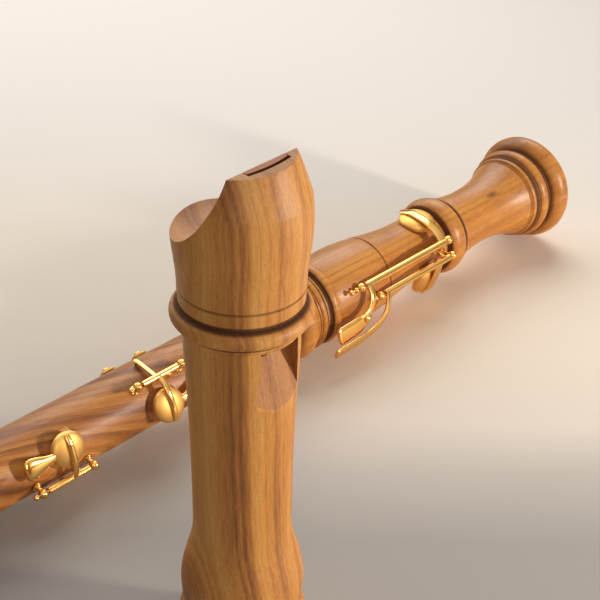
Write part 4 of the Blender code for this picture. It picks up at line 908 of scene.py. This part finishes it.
KEYS = (
    Key("hole_3", HOLE_3, (HOLE_3 - 10.0 * MM, HOLE_3 + 15.0 * MM), "middle", cup_angle=64.0, hinge_angle=105.0,
        spoon_way=1, tail=36.0, **MIDDLE_KEY),
    Key("hole_4", HOLE_4, (HOLE_4 - 13.0 * MM, HOLE_4 + 11.0 * MM), "middle", cup_angle=82.0, hinge_angle=39.0,
        spoon_way=-1, tail=40.0, tail_shift=1.0 * MM, **MIDDLE_KEY),
    Key("low_c_sharp", 105.5 * MM, (102.4 * MM, 168.6 * MM), "foot", cup_angle=6.0, hole_r=4.0 * MM,
        hinge_angle=62.3, lift=12.0, rest_open=False, route=SHARP_STRIP, boss=0.55, tail=0.0, knobs=2, **FOOT_KEY),
    Key("low_c", 112.0 * MM, (101.4 * MM, 157.0 * MM), "foot", cup_angle=122.0, hole_r=4.6 * MM, hinge_angle=84.0,
        lift=10.0, rest_open=True, route=LOW_C_STRIP, tail=18.0, tail_shift=-5.0 * MM, **FOOT_KEY),
)


def key_cup(key):
    """A domed cup with a rolled rim and a recess below for its pad."""
    base = key.floor + 1.6 * MM
    inner = key.cup_r - 0.9 * MM
    roof = key.floor + 1.0 * MM
    points = [(0, roof), (inner, roof), (inner, key.floor)]
    points += arc(key.floor + 0.3 * MM, key.cup_r - 0.3 * MM, 0.3 * MM, 0.3 * MM, -90, 0, 5)
    points += arc(base, 0, key.dome_height, key.cup_r, 6, 84, 24)
    points += [(0, base + key.dome_height)]
    return placed(turned(points, CUP_STEPS), key.cup_place)


def key_arm(key):
    """The arm: from the hinge tube up and over the cup's dome to its far side."""
    out = on_body(key.cup_angle, 1.0)
    toward = on_body(key.cup_angle + 90 * key.sign, 1.0)
    crest = key.floor + 1.6 * MM + key.dome_height + 0.3 * MM
    over_cup = ((-0.78, key.dome_height * 0.45), (-0.55, key.dome_height * 0.2), (-0.25, 0.0), (0.35, 0.0))
    line = [out * (crest - drop) + toward * key.cup_r * share for share, drop in over_cup]
    end = on_body(key.hinge_angle, key.hinge_r + key.tube_r * 0.3)
    start = line[-1]
    bend = start + toward * (end - start).dot(toward) * 0.6
    for t in (0.25, 0.5, 0.75, 1.0):
        line.append(start * (1 - t) ** 2 + bend * 2 * t * (1 - t) + end * t ** 2)
    shift = Vector((0, 0, key.arm_station)) - key.centre
    route = smooth_route([tuple(point + shift) for point in reversed(line)], 4)
    return strap([(Vector(point), out, key.band) for point in route], 1.5 * MM, 0.15 * MM)


def key_tail(key):
    """The flat tail whose cork stops the open key against the wood."""
    cork_angle = key.hinge_angle + key.sign * key.tail
    station = key.arm_station + key.tail_shift
    out = on_body(cork_angle, 1.0)
    rest = key.surface(station) + 2 * GAP + 0.8 * MM + 0.6 * MM
    along = on_body(cork_angle + 90, 1.0) * key.sign * (1.4 + 0.5 - 1.2) * MM
    middle = on_body(cork_angle, rest) - key.centre
    root = on_body(key.hinge_angle + key.sign, key.hinge_r) - key.centre
    shade_marks = [root, key.shut @ (middle - along), key.shut @ (middle + along)]
    shift = Vector((0, 0, station))
    tail = strap([(point + shift, key.shut @ out, 2.4 * MM) for point in shade_marks], 1.2 * MM)
    disc = [(0, 0), (1.2 * MM, 0), (1.4 * MM, 0.15 * MM), (1.4 * MM, 0.8 * MM), (0, 0.8 * MM)]
    lift = Matrix.Translation((0, 0, key.surface(station) + GAP))
    cork = placed(turned(disc, ROD_STEPS), key.shut @ key.to_hinge @ radial(cork_angle, station) @ lift)
    return tail, cork


def foot_touch(key):
    """A foot key's strip to its touch: wider, crowned and turned up towards the end."""
    back = key.shut if key.rest_open else Matrix.Identity(4)
    start = key.tube_high - 1.9 * MM
    stops = []
    for along, turn, rise, width, facing in smooth_route(key.route, 8):
        angle = key.hinge_angle + turn
        point = back @ (on_body(angle, key.hinge_r + rise * MM) - key.centre)
        out = back @ on_body(angle - facing, 1.0)
        stops.append((point + Vector((0, 0, start + along * MM)), out, width * MM))
    shapes = [strap(stops, 1.7 * MM, 0.3 * MM, 12, 0.4)]
    if key.boss:
        point, out, width = stops[round(key.boss * (len(stops) - 1))]
        ball = arc(0.3 * MM, 0, 1.7 * MM, 2.2 * MM, 0, 90, 12)[:-1]
        stud = turned([(0, -0.5 * MM), (2.2 * MM, -0.5 * MM)] + ball + [(0, 2.0 * MM)], ROD_STEPS)
        turn = Vector((0, 0, 1)).rotation_difference(out).to_matrix().to_4x4()
        shapes.append(placed(stud, Matrix.Translation(point + out * 0.8 * MM) @ turn))
    return joined(shapes)


def drop_touch(key):
    """A drop-shaped finger touch: narrow neck at the cup, wide domed end."""
    length, width, steps = 16.0 * MM, 9.6 * MM, 20
    widest = length - width / 2
    out = Vector((0, 0, 1))
    stops = [(Vector((0, key.spoon_way * widest * i / steps, 0)), out, width * between(0.4, 1.0, s_curve(i / steps)))
             for i in range(steps + 1)]
    neck = Vector((0, key.spoon_way * (key.cup_r - 0.8 * MM), key.floor + 1.6 * MM + 0.3 * MM))
    return placed(strap(stops, 1.5 * MM, 0.9 * MM, 12, 0.55), key.cup_place @ Matrix.Translation(neck))


def spring_lug(key):
    side = key.sign if key.rest_open else -key.sign
    room = 0.3 * MM + GAP + 2.6 * MM * math.sin(math.radians(key.lift))
    faces = sorted((side * room, side * (room + 1.0 * MM)))
    station = key.posts[0] - 1.6 * MM + 11.0 * MM - 1.6 * MM
    lug = block(*faces, station - 0.8 * MM, station + 0.8 * MM, key.hinge_r - 2.9 * MM, key.hinge_r)
    return placed(lug, key.to_hinge @ radial(key.hinge_angle, 0))


def key_tube(key):
    """The hinge tube with a small step at each end."""
    bore, r = 0.85 * MM, key.tube_r
    step = 0.15 * MM
    low, high = key.tube_low, key.tube_high
    outline = [(bore, low), (r - 2 * step, low), (r - step, low + step), (r - step, low + 4 * step), (r, low + 5 * step),
               (r, high - 5 * step), (r - step, high - 4 * step), (r - step, high - step), (r - 2 * step, high), (bore, high)]
    return turned(outline, ROD_STEPS)


def make_key(key, satin, polished, leather, cork, place):
    here = place @ key.rest
    lever = key.name + "_key"
    moving = key.name + "_lever"
    cup = mesh_object(key.name + "_cup", key_cup(key), [satin])
    finish_piece(cup, here, moving, [lever])
    shapes = [key_arm(key), spring_lug(key)]
    if key.tail:
        tail, disc = key_tail(key)
        shapes.append(tail)
        stop = mesh_object(key.name + "_stop", disc, [cork])
        finish_piece(stop, here, moving, [key.name + "_stop_cork"])
    arm = mesh_object(key.name + "_arm", joined(shapes), [polished])
    finish_piece(arm, here, moving, [lever])
    touch = drop_touch(key) if key.surface is middle_surface else foot_touch(key)
    touch = mesh_object(key.name + "_touch", touch, [polished])
    finish_piece(touch, here, moving, [lever])
    tube = mesh_object(key.name + "_tube", key_tube(key), [polished])
    finish_piece(tube, here, moving, [lever])

    radius = key.cup_r - 0.9 * MM - GAP
    bottom = key.floor - 0.8 * MM
    top = bottom + 1.8 * MM - GAP
    pad = [(0, bottom)] + arc(bottom + 0.4 * MM, radius - 0.4 * MM, 0.4 * MM, 0.4 * MM, -90, 0, 6) + [(radius, top), (0, top)]
    pad = mesh_object(key.name + "_skin", placed(turned(pad, CUP_STEPS), key.cup_place), [leather])
    finish_piece(pad, here, moving, [key.name + "_pad"])


def post_outline(key, surface):
    """A shank in the wood, a flange where there is room, a stem and a ball round the hinge."""
    foot = surface + GAP
    stem = 1.1 * MM
    outline = [(0, surface - 3.0 * MM), (stem, surface - 3.0 * MM)]
    if key.hinge_r - key.ball_r > foot + 1.3 * MM:
        outline += [(stem, foot), (1.9 * MM, foot), (2.1 * MM, foot + 0.2 * MM), (2.1 * MM, foot + 0.6 * MM),
                    (1.9 * MM, foot + 0.8 * MM), (1.35 * MM, foot + 1.0 * MM), (stem, foot + 1.3 * MM)]
    neck = math.degrees(math.asin(stem / key.ball_r)) - 90
    outline += arc(key.hinge_r, 0, key.ball_r, key.ball_r, neck, 90, 20)[:-1]
    return outline + [(0, key.hinge_r + key.ball_r)]


def make_posts(key, polished, steel, place):
    """Two ball posts, the rod through them with its round knobs, and the needle spring."""
    hinge = Matrix.Translation(key.centre)
    below = Matrix.Translation(on_body(key.hinge_angle, key.hinge_r - 2.6 * MM))
    for label, station in zip(("bell", "head"), key.posts):
        post = placed(turned(post_outline(key, key.surface(station)), ROD_STEPS), radial(key.hinge_angle, station))
        post = mesh_object("%s_pillar_%s" % (key.name, label), post, [polished])
        past = key.ball_r + 3 * MM
        tools = [placed(rod(0.85 * MM, station - past, station + past), hinge)]
        if label == "bell":
            tools.append(placed(rod(0.55 * MM, station - past, station + past), below))
        cut(post, tools)
        finish_piece(post, place, key.body, ["%s_post_%s" % (key.name, label)])
    start = key.posts[0] - key.ball_r * 0.6
    knob = key.posts[1] + key.ball_r + GAP + 1.0 * MM
    outline = [(0, start), (0.6 * MM, start)]
    for i in range(key.knobs):
        outline += bead(knob + i * 3.5 * MM, 1.0 * MM, key.knob_r, 0.6 * MM, 14)
    pin = placed(turned(outline + [(0, outline[-1][1])], ROD_STEPS), hinge)
    pin = mesh_object(key.name + "_pin", pin, [polished])
    finish_piece(pin, place, key.body, [key.name + "_hinge_rod"])
    start = key.posts[0] - 1.6 * MM
    point = start + 11.0 * MM
    needle = turned([(0, start), (0.3 * MM, start), (0.3 * MM, point - 0.8 * MM), (0.12 * MM, point), (0, point)], 16)
    needle = mesh_object(key.name + "_needle", placed(needle, below), [steel])
    finish_piece(needle, place, key.body, [key.name + "_spring"])


# Thumb rest

THUMB_REST = on_middle(0.3321)
THUMB_REST_ARC = (-140.0, -74.0)
THUMB_EAR_ANGLE = -56.0


def thumb_screw_stations():
    return [THUMB_REST + way * 17.5 * MM / 2 for way in (-1, 1)]


def arc_plate(start, end, inner, outer, length, station):
    """A plate curved round the body between two angles, with its edges rounded."""
    steps = max(6, round((end - start) / 2.5))
    angles = [between(start, end, i / steps) for i in range(steps + 1)]
    points = [on_body(a, outer) for a in angles] + [on_body(a, inner) for a in reversed(angles)]
    bm = prism([(p.x, p.y) for p in points], length)
    rims = [e for e in bm.edges if len(e.link_faces) == 2 and e.calc_face_angle(0) > math.radians(40)]
    bmesh.ops.bevel(bm, geom=rims, offset=0.25 * MM, segments=3, profile=0.5, affect="EDGES", material=-1)
    return placed(bm, Matrix.Translation((0, 0, station)))


def thumb_hook(inner, outer):
    half, height, thickness = 6.5 * MM, 10.0 * MM, 2.2 * MM
    top = outer + height
    corner = 13.0 * MM / 3
    side = [(half, inner + GAP)] + arc(top - corner, half - corner, corner, corner, 0, 90, 14)
    hook = prism(side + [(-x, z) for x, z in reversed(side)], thickness)
    rims = [e for e in hook.edges if len(e.link_faces) == 2 and e.calc_face_angle(0) > math.radians(60)]
    bmesh.ops.bevel(hook, geom=rims, offset=0.5 * MM, segments=4, profile=0.5, affect="EDGES", material=-1)
    lean = math.atan(4.2 / 10.0)
    root = Matrix.Translation((0, 0, outer))
    stand = root @ Matrix.Rotation(-lean, 4, "X") @ root.inverted()
    middle = sum(THUMB_REST_ARC) / 2
    return placed(hook, radial(middle, THUMB_REST) @ stand @ Matrix.Rotation(math.radians(90), 4, "X"))


def make_thumb_rest(satin, polished, place):
    inner = MIDDLE_R + GAP
    outer = inner + 1.1 * MM
    parts = [arc_plate(*THUMB_REST_ARC, inner, outer, 24.0 * MM, THUMB_REST), thumb_hook(inner, outer)]
    for station in thumb_screw_stations():
        parts.append(arc_plate(THUMB_REST_ARC[1] - 1.0, THUMB_EAR_ANGLE + 10.0, inner, outer, 6.2 * MM, station))
    rest = mesh_object("thumb_rest_plate", joined(parts), [satin])
    finish_piece(rest, place, "middle", ["thumb_rest"])
    for i, station in enumerate(thumb_screw_stations()):
        seat = outer + GAP
        outline = [(0, MIDDLE_R - 3 * MM), (0.45 * MM, MIDDLE_R - 3 * MM), (0.9 * MM, MIDDLE_R - 2.1 * MM), (0.9 * MM, seat)]
        outline += arc(seat, 0, 1.1 * MM, 1.9 * MM, 0, 90, 10)[:-1] + [(0, seat + 1.1 * MM)]
        spot = radial(THUMB_EAR_ANGLE, station)
        screw = mesh_object("thumb_screw_%d" % (i + 1), placed(turned(outline, ROD_STEPS), spot), [polished])
        slot = block(-0.3 * MM, 0.3 * MM, -3 * MM, 3 * MM, seat + 0.5 * MM, seat + 3 * MM)
        cut(screw, [placed(slot, spot)])
        finish_piece(screw, place, "middle", ["thumb_rest_screw_%d" % (i + 1)])


aim_camera()
light_studio()
lay_floor()

lay_down = Matrix((UP, TO_HEAD.cross(UP), TO_HEAD)).transposed().to_4x4()
lie_turn = tuple(lay_down.to_euler())
lay_down.translation = BODY_ORIGIN

TONES = ((0.26, linear(118, 66, 23)), (0.4, linear(168, 103, 41)), (0.5, linear(198, 128, 53)),
         (0.6, linear(214, 146, 64)), (0.74, linear(230, 167, 82)))
HEAD_TONES = ((0.26, linear(132, 78, 32)), (0.4, linear(180, 114, 51)), (0.5, linear(206, 137, 62)),
              (0.6, linear(220, 154, 75)), (0.74, linear(234, 174, 94)))
MIDDLE_TONES = ((0.26, linear(106, 57, 20)), (0.4, linear(147, 87, 35)), (0.5, linear(175, 109, 47)),
                (0.6, linear(196, 129, 60)), (0.74, linear(216, 151, 80)))
CUT_TONES = ((0.26, linear(164, 98, 46)), (0.4, linear(196, 128, 68)), (0.5, linear(214, 148, 84)),
             (0.6, linear(224, 160, 96)), (0.74, linear(234, 174, 110)))
# Painted shade: a darker copy of the cut wood's tones for the window and its ramp, which lie in a recess
RAMP_SHADE_TONES = ((0.26, linear(126, 74, 32)), (0.4, linear(158, 98, 48)), (0.5, linear(180, 118, 62)),
              (0.6, linear(192, 130, 72)), (0.74, linear(204, 144, 84)))
head_figure = {"pith": (-80.0, 29.0, 0.0), "lean": (0.02, 0.03, 0.0), "swing": 3.0,
               "swing_scale": (0.02, 0.02, 0.005), "broad": 0.16, "narrow": 0.8, "contrast": 0.62,
               "late": 0.34, "late_depth": 0.5, "late_colour": linear(146, 80, 38)}
foot_figure = dict(head_figure, pith=(-76.0, -48.0, 0.0), lean=(0.06, 0.05, 0.0), swing=7.0, broad=0.09, narrow=0.26,
                   contrast=0.45, late=0.08, late_depth=0.5, late_colour=linear(150, 86, 34))
middle_figure = dict(head_figure, pith=(-60.0, -66.0, 0.0), lean=(0.2, -0.17, 0.0), swing=16.0,
                     swing_scale=(0.03, 0.03, 0.009), broad=0.13, narrow=0.34, contrast=1.25,
                     late=0.16, late_colour=linear(92, 54, 28))
# Painted shade in the incised lines (stations) and in the coves (station, reach) of the head and the foot
HEAD_SHADED_LINES = (RING + 3.9 * MM, RING + 8.6 * MM, 11.8 * MM)
HEAD_SHADED_COVES = ((RING + 3.2 * MM, 1.0 * MM), (RING - 3.4 * MM, 1.0 * MM), (16.9 * MM, 1.2 * MM), (19.4 * MM, 1.2 * MM))
FOOT_SHADED_LINES = (28.4 * MM, BULB_LINE, FOOT_LENGTH - 11.8 * MM)
FOOT_SHADED_COVES = ((14.6 * MM, 2.1 * MM), (23.4 * MM, 1.6 * MM), (83.2 * MM, 2.1 * MM), (95.3 * MM, 1.2 * MM),
              (FOOT_LENGTH - 16.9 * MM, 1.2 * MM), (FOOT_LENGTH - 19.4 * MM, 1.2 * MM))
FOOT_KNOTS = (((13.6, -8.8, 50.0), (0.52, 0.48, 0.18), 0.9), ((12.8, -9.6, 43.0), (1.1, 0.8, 0.12), 0.55),
              ((6.2, -28.8, 7.0), (2.6, 0.3, 0.16), 0.6), ((2.4, -29.2, 7.0), (2.6, 0.3, 0.2), 0.45))
head_wood = wood_finish("head_pearwood", HEAD_BASE, (0, 0, 0), head_figure, HEAD_TONES, HEAD_SHADED_LINES, HEAD_SHADED_COVES,
                        roughness=0.5)
head_cut = wood_finish("head_cut_wood", HEAD_BASE, (0, 0, 0), head_figure, CUT_TONES, roughness=0.6)
foot_wood = wood_finish("foot_pearwood", BODY_ORIGIN, lie_turn, foot_figure, TONES, FOOT_SHADED_LINES, FOOT_SHADED_COVES, FOOT_KNOTS,
                        roughness=0.38)
foot_cut = wood_finish("foot_cut_wood", BODY_ORIGIN, lie_turn, foot_figure, CUT_TONES, roughness=0.6)
middle_wood = wood_finish("middle_pearwood", BODY_ORIGIN, lie_turn, middle_figure, MIDDLE_TONES, roughness=0.44)
middle_cut = wood_finish("middle_cut_wood", BODY_ORIGIN, lie_turn, middle_figure, CUT_TONES, roughness=0.6)
shaded_ramp_wood = wood_finish("ramp_cut_wood_painted_shade", HEAD_BASE, (0, 0, 0), head_figure, RAMP_SHADE_TONES, roughness=0.6)
# Painted shade: a dark copy of the wood for the windway, standing in for the shade in the narrow slot
WINDWAY_SHADE_TONES = ((0.3, linear(104, 54, 22)), (0.7, linear(134, 76, 36)))
shaded_windway_wood = wood_finish("shaded_windway_wood", HEAD_BASE, (0, 0, 0), head_figure, WINDWAY_SHADE_TONES, roughness=0.7)
cedar = cedar_finish("block_cedar", HEAD_BASE)
satin_gilt = gilt_finish("satin_gilt", 0.48, 0.25, 0.86)
polished_gilt = gilt_finish("polished_gilt", 0.14, 0.08, 1.0)
cork = cork_finish()

make_head(head_wood, head_cut, shaded_windway_wood, shaded_ramp_wood, cedar)
make_body(foot_wood, foot_cut, middle_wood, middle_cut, cork, lay_down)
leather = leather_finish()
steel = steel_finish()
for key in KEYS:
    make_key(key, satin_gilt, polished_gilt, leather, cork, lay_down)
    make_posts(key, polished_gilt, steel, lay_down)
make_thumb_rest(satin_gilt, polished_gilt, lay_down)

scene = bpy.context.scene
scene.view_settings.view_transform = "Standard"
